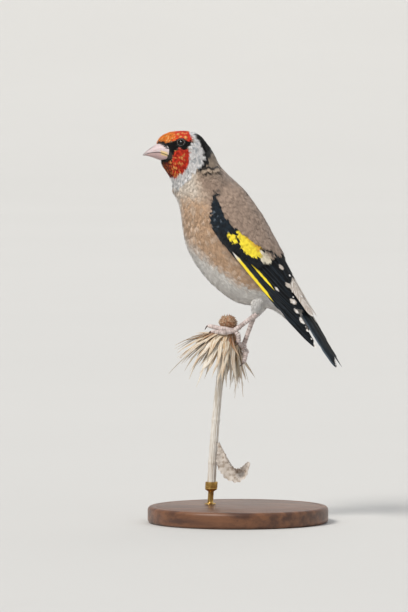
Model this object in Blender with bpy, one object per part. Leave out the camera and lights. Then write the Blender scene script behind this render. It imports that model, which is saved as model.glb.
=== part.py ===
"""A European goldfinch at life size, gripping a dry thistle head on a plain display stand.

The bird faces -X and its own middle plane is Y = 0. Z is up, and the origin is the middle of the
stand's underside. Lengths below are in millimetres, and each solid is written in metres.
"""

import math
import random

import bmesh
import bpy
import numpy as np
from mathutils import Matrix
from mathutils.bvhtree import BVHTree

MM = 0.001
GAP = 0.3
RING_SIDES = 24
HEAD_TURN = 22.0
NECK_PIVOT_X = -10.4
random.seed(7)

# Body stations from the bill to the tips of the under-tail coverts: the back line and the belly
# line as (distance along the bird, height), half the width, and how far the neck has turned, in degrees.
BODY_STATIONS = (
    ("bill_root", (-34.6, 159.6), (-32.9, 152.2), 3.7, 22),
    ("lores", (-33.1, 162.4), (-32.7, 150.2), 5.6, 22),
    ("brow", (-30.2, 164.1), (-31.6, 148.3), 7.2, 22),
    ("eye", (-26.0, 164.7), (-30.4, 146.6), 8.3, 22),
    ("ear", (-21.4, 164.2), (-29.3, 144.9), 8.8, 22),
    ("hind_crown", (-17.6, 162.2), (-28.5, 143.0), 8.7, 21),
    ("nape", (-14.4, 158.3), (-27.9, 140.9), 8.8, 18),
    ("hind_neck", (-11.8, 154.9), (-27.4, 138.8), 9.4, 13),
    ("neck_base", (-8.8, 150.4), (-26.7, 136.5), 10.5, 8),
    ("shoulders", (-4.8, 145.1), (-25.7, 133.1), 12.2, 4),
    ("upper_breast", (0.2, 139.2), (-24.6, 128.5), 13.6, 1),
    ("breast", (5.7, 132.0), (-23.8, 122.2), 14.4, 0),
    ("mid_back", (9.9, 125.4), (-22.0, 115.1), 14.5, 0),
    ("flank", (13.5, 118.6), (-17.6, 107.5), 13.9, 0),
    ("belly", (16.6, 112.5), (-10.0, 99.1), 12.6, 0),
    ("legs", (19.4, 107.9), (0.0, 92.5), 10.7, 0),
    ("vent", (22.2, 103.6), (8.9, 91.0), 8.6, 0),
    ("rump", (25.3, 99.4), (15.8, 89.8), 6.8, 0),
    ("coverts", (28.6, 94.1), (21.8, 86.1), 5.7, 0),
    ("covert_end", (31.2, 87.9), (26.9, 81.3), 4.2, 0),
    ("covert_tip", (32.5, 83.6), (30.2, 79.0), 1.8, 0),
)
HEAD_CUT = "nape"
NECK_CUT = "neck_base"

# The bill in the head's own plane: the ridge, the cutting edge and the keel as (distance, height),
# with half the width at each, from inside the head to the tip.
BILL_STATIONS = (
    ((-28.6, 160.2), (-28.9, 154.0), (-29.3, 151.6), 4.0),
    ((-31.8, 160.0), (-31.2, 154.9), (-31.4, 151.6), 4.0),
    ((-34.6, 159.2), (-33.8, 155.7), (-33.6, 152.3), 3.5),
    ((-36.5, 158.1), (-36.2, 155.6), (-35.7, 153.1), 2.7),
    ((-38.2, 156.7), (-38.0, 155.1), (-37.8, 153.6), 1.75),
    ((-39.7, 155.2), (-39.6, 154.5), (-39.5, 153.8), 0.85),
    ((-40.8, 154.1), (-40.7, 153.9), (-40.6, 153.7), 0.3),
)
NOSTRIL_AT = (-35.2, 157.6)
NOSTRIL_R = 0.42

EYE_AT = (-24.7, 160.0)
EYE_R = 2.0
EYE_SUNK = 1.35
LID_R = 1.95
LID_THICK = 0.45

# The folded wing lies along a slanting axis. Its guide is an oval about that axis, whose side and
# back radii change with the distance down the wing, and which rises to a ridge over the back.
WING_START = (-6.8, 129.0)
WING_SLOPE = math.radians(50.2)
WING_AT = (-10, 0, 10, 20, 30, 40, 50, 60, 72, 84)
WING_SIDE_R = (11.6, 14.3, 15.0, 14.9, 14.0, 12.7, 11.4, 10.0, 8.7, 7.5)
WING_BACK_R = (12.4, 12.8, 12.2, 10.4, 8.6, 6.9, 5.6, 4.7, 4.0, 3.4)
WING_RIDGE = 1.35
VANE_THICK = 0.6
VANE_STEP = 0.17

TAIL_ROOT = (18.5, 106.6)
TAIL_SLOPE = math.radians(54.9)
TAIL_LENGTH = 48.2
TAIL_BLOCK_FROM = 9.0
TAIL_PAIRS = 6

# Legs: hip, ankle and ball of the foot, then the toes as points from the ball to the claw's root,
# and each claw's tip. The left leg, on the -Y side, holds the top of the thistle head.
LEGS = {
    "left": {
        "hip": (12.6, -6.6, 97.5),
        "ankle": (9.5, -5.6, 87.4),
        "ball": (-0.6, -3.0, 80.9),
        "toes": (
            ((-4.6, -4.9, 80.6), (-8.8, -4.3, 81.8), (-12.2, -2.7, 82.9), (-14.2, -2.1, 80.8)),
            ((-3.6, -5.2, 79.4), (-7.2, -5.2, 79.0), (-10.2, -4.5, 79.8), (-11.9, -4.3, 78.0)),
            ((-0.3, -0.6, 81.6), (-1.0, 3.6, 82.0), (-5.6, 4.9, 82.4), (-8.6, 3.0, 82.2)),
            ((1.0, -2.6, 79.2), (1.2, -2.3, 76.9), (0.9, -2.2, 75.9), (-0.5, -2.2, 74.6)),
        ),
    },
    "right": {
        "hip": (12.0, 6.6, 97.5),
        "ankle": (4.6, 5.2, 85.3),
        "ball": (0.9, 3.3, 73.6),
        "toes": (
            ((2.5, 2.2, 71.2), (2.7, 0.9, 68.9), (2.3, -0.2, 67.3), (0.9, -0.6, 65.7)),
            ((1.9, 4.8, 71.6), (-0.9, 6.6, 70.2), (-3.6, 7.3, 69.6), (-5.4, 6.6, 68.6)),
            ((0.6, 5.5, 73.9), (-2.2, 7.2, 74.2), (-4.8, 7.4, 74.2), (-6.6, 6.5, 73.4)),
            ((0.4, 1.4, 74.9), (0.3, -0.3, 75.9), (0.0, -1.0, 76.2), (-1.3, -1.8, 75.6)),
        ),
    },
}
SHANK_R = 0.72
TOE_R = 0.62
CLAW_R = 0.42

STEM_POINTS = ((-12.1, 14.7), (-10.9, 33.0), (-8.8, 55.0), (-6.3, 71.2))
STEM_R = (1.8, 1.72, 1.58, 1.5)
THISTLE_FOOT = (-6.27, 71.5)
THISTLE_LEAN = math.radians(8.0)
THISTLE_PROFILE = ((0.0, 1.5), (2.4, 2.4), (4.6, 3.3), (7.2, 3.3), (9.0, 2.7), (10.4, 2.8),
                   (12.2, 3.6), (14.0, 3.5), (15.4, 2.5), (16.1, 1.0))
# Tiers of bracts: how many, height of their roots up the head, length, width and extra spread.
BRACT_TIERS = ((7, 9.4, 12.0, 3.2, 26.0), (10, 8.2, 19.0, 3.0, 11.0), (12, 6.8, 24.5, 2.8, 0.0))
BRACT_SPREAD = math.radians(28.0)
BRACT_SPREAD_SWING = math.radians(30.0)
BRACT_SPREAD_LEAST = math.radians(15.0)

LEAF_POINTS = ((-8.5, -0.4, 33.5), (-6.6, -0.9, 29.8), (-4.2, -1.4, 25.6), (-0.6, -1.2, 21.6),
               (2.8, -0.4, 21.4), (4.9, 0.6, 25.4))
LEAF_HALF_WIDTH = (0.9, 1.7, 3.7, 3.5, 2.1, 0.6)

BASE_R = 38.0
BASE_HIGH = 7.0
BASE_CHAMFER = 0.9
ROD_R = 1.2
CUP_R = 2.6
CUP_DEPTH = 2.4
CUP_HIGH = 3.4


def smooth(stations, rows):
    """Catmull-Rom curve through the rows of a table, read at the given places along it."""
    table = np.array(rows, float)
    at = np.asarray(stations, float)
    last = len(table) - 1
    step = np.clip(np.floor(at).astype(int), 0, last - 1)
    u = (at - step)[:, None]
    before = table[np.maximum(step - 1, 0)]
    here = table[step]
    there = table[step + 1]
    after = table[np.minimum(step + 2, last)]
    return 0.5 * (2 * here + (there - before) * u + (2 * before - 5 * here + 4 * there - after) * u**2
                  + (3 * here - before - 3 * there + after) * u**3)


def unit(v):
    v = np.asarray(v, float)
    return v / np.linalg.norm(v)


def material(name, colour, roughness, metallic=0.0):
    found = bpy.data.materials.new(name)
    found.use_nodes = True
    shader = found.node_tree.nodes["Principled BSDF"]
    shader.inputs["Base Color"].default_value = (*colour, 1.0)
    shader.inputs["Roughness"].default_value = roughness
    shader.inputs["Metallic"].default_value = metallic
    return found


def solid(name, verts, faces, finish=None):
    """One object of a closed mesh in millimetres, with its faces turned outward."""
    mesh = bpy.data.meshes.new(name)
    mesh.from_pydata([tuple(float(x) * MM for x in v) for v in verts], [], faces)
    body = bmesh.new()
    body.from_mesh(mesh)
    bmesh.ops.recalc_face_normals(body, faces=body.faces)
    body.to_mesh(mesh)
    body.free()
    if finish:
        mesh.materials.append(finish)
    obj = bpy.data.objects.new(name, mesh)
    bpy.context.scene.collection.objects.link(obj)
    return obj


def loft(rings):
    """Closed skin over rings of points, with a fan at each end."""
    rings = [np.asarray(r, float) for r in rings]
    count = len(rings[0])
    verts = [p for r in rings for p in r]
    faces = []
    for i in range(len(rings) - 1):
        for j in range(count):
            k = (j + 1) % count
            faces.append((i * count + j, i * count + k, (i + 1) * count + k, (i + 1) * count + j))
    for first, middle in ((0, rings[0].mean(0)), ((len(rings) - 1) * count, rings[-1].mean(0))):
        verts.append(middle)
        for j in range(count):
            faces.append((first + j, first + (j + 1) % count, len(verts) - 1))
    return verts, faces


def tube(path, radii, sides=8, flat=1.0):
    """Rings about a path of points. Flat squeezes them across their second axis."""
    path = np.asarray(path, float)
    along = np.gradient(path, axis=0)
    side = unit(np.cross(along[0], (0.13, 0.97, 0.21)))
    rings = []
    for p, t, r in zip(path, along, radii):
        t = unit(t)
        side = unit(side - t * side.dot(t))
        up = np.cross(t, side)
        turns = [2 * math.pi * j / sides for j in range(sides)]
        rings.append([p + r * (math.cos(a) * side + flat * math.sin(a) * up) for a in turns])
    return loft(rings)


def patch(top, bottom):
    """Closed plate between two grids of points, cut into triangles alike on both faces."""
    top = np.asarray(top, float)
    bottom = np.asarray(bottom, float)
    rows, cols = top.shape[:2]
    verts = [*top.reshape(-1, 3), *bottom.reshape(-1, 3)]
    under = rows * cols
    faces = []
    for i in range(rows - 1):
        for j in range(cols - 1):
            a, b = i * cols + j, i * cols + j + 1
            c, d = a + cols, b + cols
            halves = ((a, b, d), (a, d, c)) if j < cols // 2 else ((a, b, c), (b, d, c))
            for x, y, z in halves:
                faces += [(x, y, z), (under + z, under + y, under + x)]
    edge = [j for j in range(cols)] + [i * cols + cols - 1 for i in range(1, rows)]
    edge += [(rows - 1) * cols + j for j in range(cols - 2, -1, -1)]
    edge += [i * cols for i in range(rows - 2, 0, -1)]
    for a, b in zip(edge, edge[1:] + edge[:1]):
        faces += [(a, under + a, under + b), (a, under + b, b)]
    return verts, faces


def vane(points, across, normals, half_widths, thick, camber):
    """A feather's vane of three columns, arched across by camber at its edges."""
    top = []
    bottom = []
    for p, b, n, w, t, c in zip(points, across, normals, half_widths, thick, camber):
        row = [p - b * w - n * c, p, p + b * w - n * c]
        top.append(row)
        bottom.append([q - n * t for q in row])
    return patch(top, bottom)


def evaluated_copy(obj):
    """Replaces the object's mesh by what its modifiers make of it."""
    graph = bpy.context.evaluated_depsgraph_get()
    made = bpy.data.meshes.new_from_object(obj.evaluated_get(graph))
    obj.modifiers.clear()
    obj.data = made


def boolean(target, others, operation, solver="EXACT"):
    """Joins the other objects to the target, or cuts them from it, and removes them."""
    held = bpy.data.collections.new("held")
    bpy.context.scene.collection.children.link(held)
    for other in others:
        bpy.context.scene.collection.objects.unlink(other)
        held.objects.link(other)
    step = target.modifiers.new(operation.lower(), "BOOLEAN")
    step.operation = operation
    step.operand_type = "COLLECTION"
    step.collection = held
    step.solver = solver
    evaluated_copy(target)
    for other in others:
        bpy.data.objects.remove(other)
    bpy.data.collections.remove(held)
    return target


def keep_largest(obj):
    """Leaves the object only its largest closed surface."""
    body = bmesh.new()
    body.from_mesh(obj.data)
    body.verts.ensure_lookup_table()
    left = set(body.verts)
    shells = []
    while left:
        start = left.pop()
        shell = {start}
        border = [start]
        while border:
            for edge in border.pop().link_edges:
                for v in edge.verts:
                    if v in left:
                        left.remove(v)
                        shell.add(v)
                        border.append(v)
        shells.append(shell)
    largest = max(shells, key=len)
    bmesh.ops.delete(body, geom=[v for v in body.verts if v not in largest], context="VERTS")
    body.to_mesh(obj.data)
    body.free()


def finish_as(obj, finish, sharp=40):
    obj.data.materials.clear()
    obj.data.materials.append(finish)
    obj.data.shade_smooth()
    obj.data.set_sharp_from_angle(angle=math.radians(sharp))


def turned_place(along, height, side, turn):
    """A point given in the bird's own middle plane, turned about the neck's upright axis."""
    reach = along - NECK_PIVOT_X
    return np.array((NECK_PIVOT_X + reach * math.cos(turn) - side * math.sin(turn),
                     reach * math.sin(turn) + side * math.cos(turn), height))


def head_place(along, height, side=0.0):
    return turned_place(along, height, side, math.radians(HEAD_TURN))


def body_rings(first, last, per_station=2, grow=0.0):
    """Rings of the plumage from one station number to another."""
    rows = [(*back, *belly, half, turn) for _, back, belly, half, turn in BODY_STATIONS]
    count = int(round((last - first) * per_station)) + 1
    rings = []
    for sx, sz, vx, vz, half, turn in smooth(np.linspace(first, last, count), rows):
        middle = np.array((sx + vx, sz + vz)) / 2
        up = np.array((sx - vx, sz - vz)) / 2
        up = up * (1 + grow / np.linalg.norm(up))
        ring = []
        for j in range(RING_SIDES):
            a = 2 * math.pi * j / RING_SIDES
            rise = math.copysign(abs(math.cos(a)) ** 0.95, math.cos(a))
            out = math.copysign(abs(math.sin(a)) ** 0.92, math.sin(a))
            place = middle + up * rise
            ring.append(turned_place(place[0], place[1], (half + grow) * out, math.radians(turn)))
        rings.append(ring)
    return rings


def station(name):
    return [row[0] for row in BODY_STATIONS].index(name)


def cut_plane(name, shift):
    """A point and a normal of a station's plane, moved along the normal, which points to the tail."""
    _, back, belly, _, turn = BODY_STATIONS[station(name)]
    a = turned_place(*back, 0.0, math.radians(turn))
    b = turned_place(*belly, 0.0, math.radians(turn))
    side = turned_place(*back, 1.0, math.radians(turn)) - a
    normal = unit(np.cross(a - b, side))
    if normal[2] > 0:
        normal = -normal
    return (a + normal * shift) * MM, normal


def bisected(source, name, planes, finish):
    """A copy of the plumage kept on the inner side of each plane, with its cut faces closed."""
    body = bmesh.new()
    body.from_mesh(source.data)
    for point, normal in planes:
        every = list(body.verts) + list(body.edges) + list(body.faces)
        made = bmesh.ops.bisect_plane(body, geom=every, plane_co=point, plane_no=normal, clear_outer=True)
        rim = [e for e in made["geom_cut"] if isinstance(e, bmesh.types.BMEdge)]
        bmesh.ops.contextual_create(body, geom=rim)
    bmesh.ops.triangulate(body, faces=[f for f in body.faces if len(f.verts) > 4])
    bmesh.ops.recalc_face_normals(body, faces=body.faces)
    mesh = bpy.data.meshes.new(name)
    body.to_mesh(mesh)
    body.free()
    obj = bpy.data.objects.new(name, mesh)
    bpy.context.scene.collection.objects.link(obj)
    finish_as(obj, finish)
    return obj


def bill_half(upper, grow=0.0):
    """Rings of one half of the bill: an arch over the cutting edge, or the keel beneath it."""
    rows = [(*ridge, *edge, *keel, half) for ridge, edge, keel, half in BILL_STATIONS]
    rings = []
    for rx, rz, ex, ez, kx, kz, half in smooth(np.linspace(0, len(rows) - 1, 11), rows):
        far, share = ((rx, rz), 1.0) if upper else ((kx, kz), 0.9)
        sign = 1 if upper else -1
        half = half * share + grow
        inward = grow if not rings else 0.0
        lip = np.array((ex + inward, ez + sign * (GAP / 2 - grow)))
        crest = np.array(far) + np.array((inward, sign * grow))
        ring = []
        for a in np.linspace(0, math.pi, 9):
            up = math.sin(a) ** 0.8
            place = lip + (crest - lip) * up
            ring.append(head_place(place[0], place[1], half * math.cos(a)))
        for side in (-0.5, 0.5):
            ring.append(head_place(*lip, half * side))
        rings.append(ring)
    return rings


def build_bill(finish):
    upper = solid("bill_upper", *loft(bill_half(True)))
    pits = []
    for side in (-1, 1):
        x, z = NOSTRIL_AT
        middle = head_place(x, z, side * 2.15)
        along = head_place(x - 1, z - 0.5, side * 2.15) - middle
        path = [middle + along * s for s in (-0.8, -0.3, 0.3, 0.8)]
        pits.append(solid("pit", *tube(path, (0.12, NOSTRIL_R, NOSTRIL_R, 0.12), 8)))
    boolean(upper, pits, "DIFFERENCE")
    keep_largest(upper)
    finish_as(upper, finish)
    lower = solid("bill_lower", *loft(bill_half(False)))
    finish_as(lower, finish)


def ball(name, centre, radius, finish=None, level=3):
    mesh = bpy.data.meshes.new(name)
    body = bmesh.new()
    bmesh.ops.create_icosphere(body, subdivisions=level, radius=radius * MM)
    body.to_mesh(mesh)
    body.free()
    if finish:
        mesh.materials.append(finish)
    mesh.transform(Matrix.Translation([float(c) * MM for c in centre]))
    mesh.shade_smooth()
    obj = bpy.data.objects.new(name, mesh)
    bpy.context.scene.collection.objects.link(obj)
    return obj


def eye_frame(plumage, side):
    """The plumage's surface beside the eye and the outward direction there."""
    tree = BVHTree.FromObject(plumage, bpy.context.evaluated_depsgraph_get())
    start = head_place(*EYE_AT, side * 30.0)
    inward = head_place(*EYE_AT, 0.0) - start
    hit, _, _, _ = tree.ray_cast([float(c) * MM for c in start], [float(c) for c in unit(inward)])
    out = unit(head_place(EYE_AT[0] - 0.25, EYE_AT[1] + 0.18, side * 1.0) - head_place(*EYE_AT, 0.0))
    return np.array(hit) / MM, out


def build_head(plumage, finishes):
    head = bisected(plumage, "head", [cut_plane(HEAD_CUT, -GAP / 2)], finishes["face"])
    cutters = [solid("cut", *loft(bill_half(upper, GAP))) for upper in (True, False)]
    rims = []
    for side, word in ((-1, "left"), (1, "right")):
        surface, out = eye_frame(plumage, side)
        centre = surface - out * EYE_SUNK
        cutters.append(ball("cut", centre, EYE_R + GAP, level=2))
        ball("eye_" + word, centre, EYE_R, finishes["eye"])
        across = unit(np.cross(out, (0, 0, 1)))
        up = np.cross(across, out)
        turns = np.linspace(0, 2 * math.pi, 15)[:-1]
        ring_at = surface - out * 0.15
        loops = []
        for a in turns:
            spoke = across * math.cos(a) * 1.06 + up * math.sin(a) * 0.94
            loops.append([ring_at + spoke * (LID_R + LID_THICK * math.cos(b)) + out * LID_THICK * math.sin(b)
                          for b in np.linspace(0, 2 * math.pi, 6)[:-1]])
        rims.append(solid("lid", *torus_of(loops)))
    boolean(head, rims, "UNION")
    boolean(head, cutters, "DIFFERENCE")
    keep_largest(head)
    finish_as(head, finishes["face"])


def torus_of(loops):
    """Closed ring of loops with no end caps."""
    rows, count = len(loops), len(loops[0])
    verts = [p for loop in loops for p in loop]
    faces = []
    for i in range(rows):
        for j in range(count):
            k = (j + 1) % count
            n = (i + 1) % rows
            faces.append((i * count + j, i * count + k, n * count + k, n * count + j))
    return verts, faces


WING_ALONG = np.array((math.cos(WING_SLOPE), 0.0, -math.sin(WING_SLOPE)))
WING_BACK = np.array((math.sin(WING_SLOPE), 0.0, math.cos(WING_SLOPE)))


def wing_radii(t):
    """Side and back radius of the wing's guide, this far down the wing."""
    at = np.interp(t, WING_AT, range(len(WING_AT)))
    return smooth([at], list(zip(WING_SIDE_R, WING_BACK_R)))[0]


def wing_turn(t, q):
    """Angle round the guide from the back line, for a height q over the wing's axis."""
    share = max(-0.9, min(0.97, q / wing_radii(t)[1]))
    return math.acos(math.copysign(abs(share) ** (1 / WING_RIDGE), share))


def wing_guide(t, turn, side):
    """A point of the wing's guide, this far down the wing and this far round from the back line."""
    wide, high = wing_radii(t)
    rise = math.copysign(abs(math.cos(turn)) ** WING_RIDGE, math.cos(turn))
    out = math.sin(turn) ** WING_RIDGE
    start = np.array((WING_START[0], 0.0, WING_START[1]))
    return start + WING_ALONG * t + WING_BACK * high * rise + np.array((0.0, side * wide * out, 0.0))


def wing_place(t, turn, lift, side):
    """A point on the wing's guide lifted along its normal, and that normal."""
    turn = min(max(turn, 0.06), math.pi - 0.06)
    across = wing_guide(t, turn + 0.05, side) - wing_guide(t, turn - 0.05, side)
    normal = unit(np.cross(WING_ALONG, across)) * side
    return wing_guide(t, turn, side) + normal * lift, normal


def wing_vane(root, tip, half, lift, side, rows):
    """A vane along the guide from root to tip, each (distance down the wing, height over its axis)."""
    turns = (wing_turn(*root), wing_turn(*tip))
    shares = np.linspace(0, 1, rows)
    places = []
    normals = []
    for s in shares:
        t = root[0] + (tip[0] - root[0]) * s
        turn = turns[0] + (turns[1] - turns[0]) * s
        place, normal = wing_place(t, turn, lift, side)
        places.append(place)
        normals.append(normal)
    along = [unit(v) for v in np.gradient(np.array(places), axis=0)]
    across = [unit(np.cross(n, a)) for n, a in zip(normals, along)]
    shape = np.interp(shares, (0, 0.15, 0.76, 1), (0.6, 0.95, 1.0, 0.12))
    widths = half * shape
    camber = [w * w / 24.0 + 0.06 for w in widths]
    thick = np.interp(shares, (0, 0.7, 1), (VANE_THICK, VANE_THICK, 0.5))
    return vane(places, across, normals, widths, thick, camber)


def wing_feathers():
    """Root, tip, half width and lift of each wing feather, from the lowest layer to the top one."""
    found = []
    layer = 0
    primary_tips = (68.5, 69.5, 68.5, 65.5, 62.0, 59.0, 56.5, 54.0)
    for k, tip_t in enumerate(primary_tips):
        share = k / (len(primary_tips) - 1)
        root = (8.0 + 8.0 * share, -1.2 + 3.6 * share)
        tip = (tip_t, 0.3 + 2.7 * share**0.8)
        found.append((root, tip, 2.2 + 0.4 * share, -0.9 + VANE_STEP * layer, 5))
        layer += 1
    for k in range(4):
        share = k / 3
        root = (13.0 + 5.0 * share, 1.2 + 6.2 * share)
        tip = (50.6 - 5.6 * share, 2.6 + 3.4 * share)
        found.append((root, tip, 2.8 + 0.2 * share, -0.9 + VANE_STEP * layer, 5))
        layer += 1
    for root, tip, half, lift in (((19.0, 7.2), (53.0, 4.4), 2.7, 1.25),
                                  ((21.0, 8.8), (48.5, 5.6), 2.7, 1.47),
                                  ((23.0, 9.4), (42.0, 6.7), 2.4, 1.69)):
        found.append((root, tip, half, lift, 5))
    for k in range(3):
        share = k / 2
        root = (4.0 + 2 * share, -1.6 + 1.6 * share)
        tip = (21.5 - 2.0 * share, -1.9 + 2.4 * share)
        found.append((root, tip, 1.4, 0.55 + 0.13 * k, 3))
    for k in range(4):
        share = k / 3
        root = (5.0 + 9.0 * share, 0.6 + 5.6 * share)
        tip = (17.5 + 10.5 * share, 1.4 + 6.0 * share)
        found.append((root, tip, 2.4, 1.15 + 0.13 * k, 3))
    for k in range(3):
        share = k / 2
        root = (-1.0 + 9.0 * share, 0.2 + 5.2 * share)
        tip = (8.0 + 8.6 * share, 0.4 + 5.6 * share)
        found.append((root, tip, 2.6, 1.6 + 0.12 * k, 3))
    return found


def wing_pad(side):
    """The fleshy part of the wing with its small coverts, as one smooth pad."""
    top = []
    bottom = []
    for t in np.linspace(-9, 22, 7):
        swell = math.sin(math.pi * np.interp(t, (-9, 22), (0.06, 0.94))) ** 0.6
        low = np.interp(t, (-9, 0, 12, 22), (3.6, -2.0, -2.2, -1.0))
        high = np.interp(t, (-9, 0, 22), (6.4, 6.8, 7.4))
        outer = []
        inner = []
        for share in np.linspace(0, 1, 5):
            turn = wing_turn(t, low + (high - low) * share)
            bulge = math.sin(math.pi * (0.04 + 0.92 * share)) ** 0.5
            outer.append(wing_place(t, turn, -1.7 + 2.9 * swell * bulge, side)[0])
            inner.append(wing_place(t, turn, -2.8, side)[0])
        top.append(outer)
        bottom.append(inner)
    return patch(top, bottom)


def midline_slab():
    """Cutter that keeps each wing on its own side of the back."""
    corners = [(x, y, z) for x in (-20, 60) for y in (-GAP, GAP) for z in (60, 160)]
    sides = ((0, 1, 3, 2), (4, 6, 7, 5), (0, 4, 5, 1), (2, 3, 7, 6), (0, 2, 6, 4), (1, 5, 7, 3))
    return solid("cut", corners, sides)


def build_wing(side, word, torso_cutter, tail_cutter, finish):
    wing = solid("wing_" + word, *wing_pad(side))
    vanes = [solid("vane", *wing_vane(root, tip, half, lift, side, rows))
             for root, tip, half, lift, rows in wing_feathers()]
    boolean(wing, vanes, "UNION", "MANIFOLD")
    boolean(wing, [torso_cutter(), tail_cutter(), midline_slab()], "DIFFERENCE")
    keep_largest(wing)
    finish_as(wing, finish, 25)


TAIL_ALONG = np.array((math.cos(TAIL_SLOPE), 0.0, -math.sin(TAIL_SLOPE)))
TAIL_UP = np.array((math.sin(TAIL_SLOPE), 0.0, math.cos(TAIL_SLOPE)))


def tail_place(t, side, rise):
    return (np.array((TAIL_ROOT[0], 0.0, TAIL_ROOT[1])) + TAIL_ALONG * t + TAIL_UP * rise
            + np.array((0.0, side, 0.0)))


def tail_vane(pair, side):
    """One tail feather of a pair, counted from the middle of the tail outward."""
    share = pair / (TAIL_PAIRS - 1)
    length = TAIL_LENGTH - 3.6 + 3.8 * share**1.3
    out = (0.5 + 1.1 * share, 0.9 + 2.1 * share)
    rise = -0.19 * pair + (0.07 if side > 0 else 0.0)
    shares = np.linspace(0, 1, 6)
    start = 11.0
    places = [tail_place(start + (length - start) * s, side * (out[0] + (out[1] - out[0]) * s), rise)
              for s in shares]
    along = [unit(v) for v in np.gradient(np.array(places), axis=0)]
    normals = [unit(TAIL_UP + np.array((0, side * 0.05 * pair, 0)))] * len(shares)
    across = [unit(np.cross(n, a)) for n, a in zip(normals, along)]
    widths = (1.6 + 0.15 * share) * np.interp(shares, (0, 0.2, 0.75, 0.93, 1), (0.5, 0.8, 1.15, 0.8, 0.15))
    thick = [0.55] * len(shares)
    return vane(places, across, normals, widths, thick, widths * 0.05)


def tail_sleeve(from_t, to_t, grow):
    """Flattened block round the tail's roots, grown for a cutter."""
    rings = []
    for t in np.linspace(from_t, to_t, 5):
        half = np.interp(t, (8, 16, 24, 50), (2.9, 3.8, 4.7, 6.2)) + grow
        high = np.interp(t, (8, 16, 24, 50), (1.5, 1.35, 1.1, 1.05)) + grow
        ring = []
        for j in range(16):
            a = 2 * math.pi * j / 16
            out = math.copysign(abs(math.cos(a)) ** 0.7, math.cos(a))
            rise = math.copysign(abs(math.sin(a)) ** 0.7, math.sin(a))
            ring.append(tail_place(t, half * out, -0.7 + high * rise))
        rings.append(ring)
    return loft(rings)


def build_tail(finish):
    tail = solid("tail", *tail_sleeve(TAIL_BLOCK_FROM, 19.0, 0.0))
    vanes = [solid("vane", *tail_vane(pair, side)) for pair in range(TAIL_PAIRS) for side in (-1, 1)]
    boolean(tail, vanes, "UNION", "MANIFOLD")
    keep_largest(tail)
    finish_as(tail, finish, 25)


def shank_tube(leg, grow=0.0):
    top = np.array(leg["ankle"])
    foot = np.array(leg["ball"])
    shares = (0.0, 0.12, 0.5, 0.88, 1.0)
    radii = [r + grow for r in (0.95, 0.78, SHANK_R, 0.8, 0.9)]
    path = [top + (foot - top) * (s * (1 + grow / 10) - grow / 20) for s in shares]
    return tube(path, radii, 8)


def toe_tube(leg, toe, grow=0.0):
    points = (leg["ball"], *toe[:-1])
    path = smooth(np.linspace(0, len(points) - 1, 7), points)
    radii = [TOE_R * k + grow for k in (1.25, 1.0, 1.1, 0.92, 1.04, 0.9, 0.75)]
    if grow:
        path[-1] = path[-1] + unit(path[-1] - path[-2]) * grow
    return tube(path, radii, 6)


def claw_tube(toe, grow=0.0):
    root = np.array(toe[-2], float)
    tip = np.array(toe[-1], float)
    before = np.array(toe[-3], float)
    heading = unit(root - before)
    start = root + heading * (GAP - grow)
    knee = start + heading * 0.9
    path = [(1 - s) ** 2 * start + 2 * s * (1 - s) * knee + s * s * tip for s in np.linspace(0, 1, 5)]
    radii = [CLAW_R * k + grow for k in (1.0, 0.94, 0.76, 0.48, 0.15)]
    return tube(path, radii, 6, 1.15)


def build_leg(word, torso_cutter, finishes):
    leg = LEGS[word]
    hip = np.array(leg["hip"])
    ankle = np.array(leg["ankle"])
    shares = np.linspace(0, 0.94, 7)
    path = [hip + (ankle - hip) * s for s in shares]
    path[-1] = ankle + unit(hip - ankle) * (0.95 + GAP)
    thigh = solid("thigh_" + word, *tube(path, (2.2, 3.3, 3.5, 3.3, 2.8, 2.1, 1.25), 12, 0.82))
    boolean(thigh, [torso_cutter()], "DIFFERENCE")
    keep_largest(thigh)
    finish_as(thigh, finishes["belly"])
    foot = solid("leg_" + word, *shank_tube(leg))
    boolean(foot, [solid("toe", *toe_tube(leg, toe)) for toe in leg["toes"]], "UNION")
    keep_largest(foot)
    finish_as(foot, finishes["leg"])
    for number, toe in enumerate(leg["toes"], 1):
        claw = solid(f"claw_{word}_{number}", *claw_tube(toe))
        finish_as(claw, finishes["claw"])


def thistle_frame():
    up = np.array((math.sin(THISTLE_LEAN), 0.0, math.cos(THISTLE_LEAN)))
    side = np.array((math.cos(THISTLE_LEAN), 0.0, -math.sin(THISTLE_LEAN)))
    return np.array((THISTLE_FOOT[0], 0.0, THISTLE_FOOT[1])), up, side, np.array((0.0, 1.0, 0.0))


def bract(turn, height, length, width, extra):
    """One dry bract: a tapered blade that leaves the head outward and hangs down."""
    foot, up, side, depth = thistle_frame()
    out = side * math.cos(turn) + depth * math.sin(turn)
    spread = max(BRACT_SPREAD_LEAST, BRACT_SPREAD - BRACT_SPREAD_SWING * math.cos(turn))
    spread += math.radians(extra + random.uniform(-5, 5))
    down = -up
    shares = np.array((0.0, 0.3, 0.68, 1.0))
    start = foot + up * height + out * 1.9
    places = []
    for s in shares:
        bend = spread + math.radians(34) * (1 - s) ** 2
        places.append(start + (out * math.sin(bend) + down * math.cos(bend)) * length * s)
    along = [unit(v) for v in np.gradient(np.array(places), axis=0)]
    across = unit(np.cross(out, up) + up * random.uniform(-0.1, 0.1))
    normals = [unit(np.cross(a, across)) for a in along]
    normals = [n if n.dot(out) > 0 else -n for n in normals]
    crossways = [unit(np.cross(n, a)) for n, a in zip(normals, along)]
    widths = width / 2 * np.array((0.7, 1.0, 0.72, 0.08))
    thick = np.array((0.8, 0.7, 0.6, 0.35))
    return vane(places, crossways, normals, widths, thick, widths * 0.25)


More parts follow.
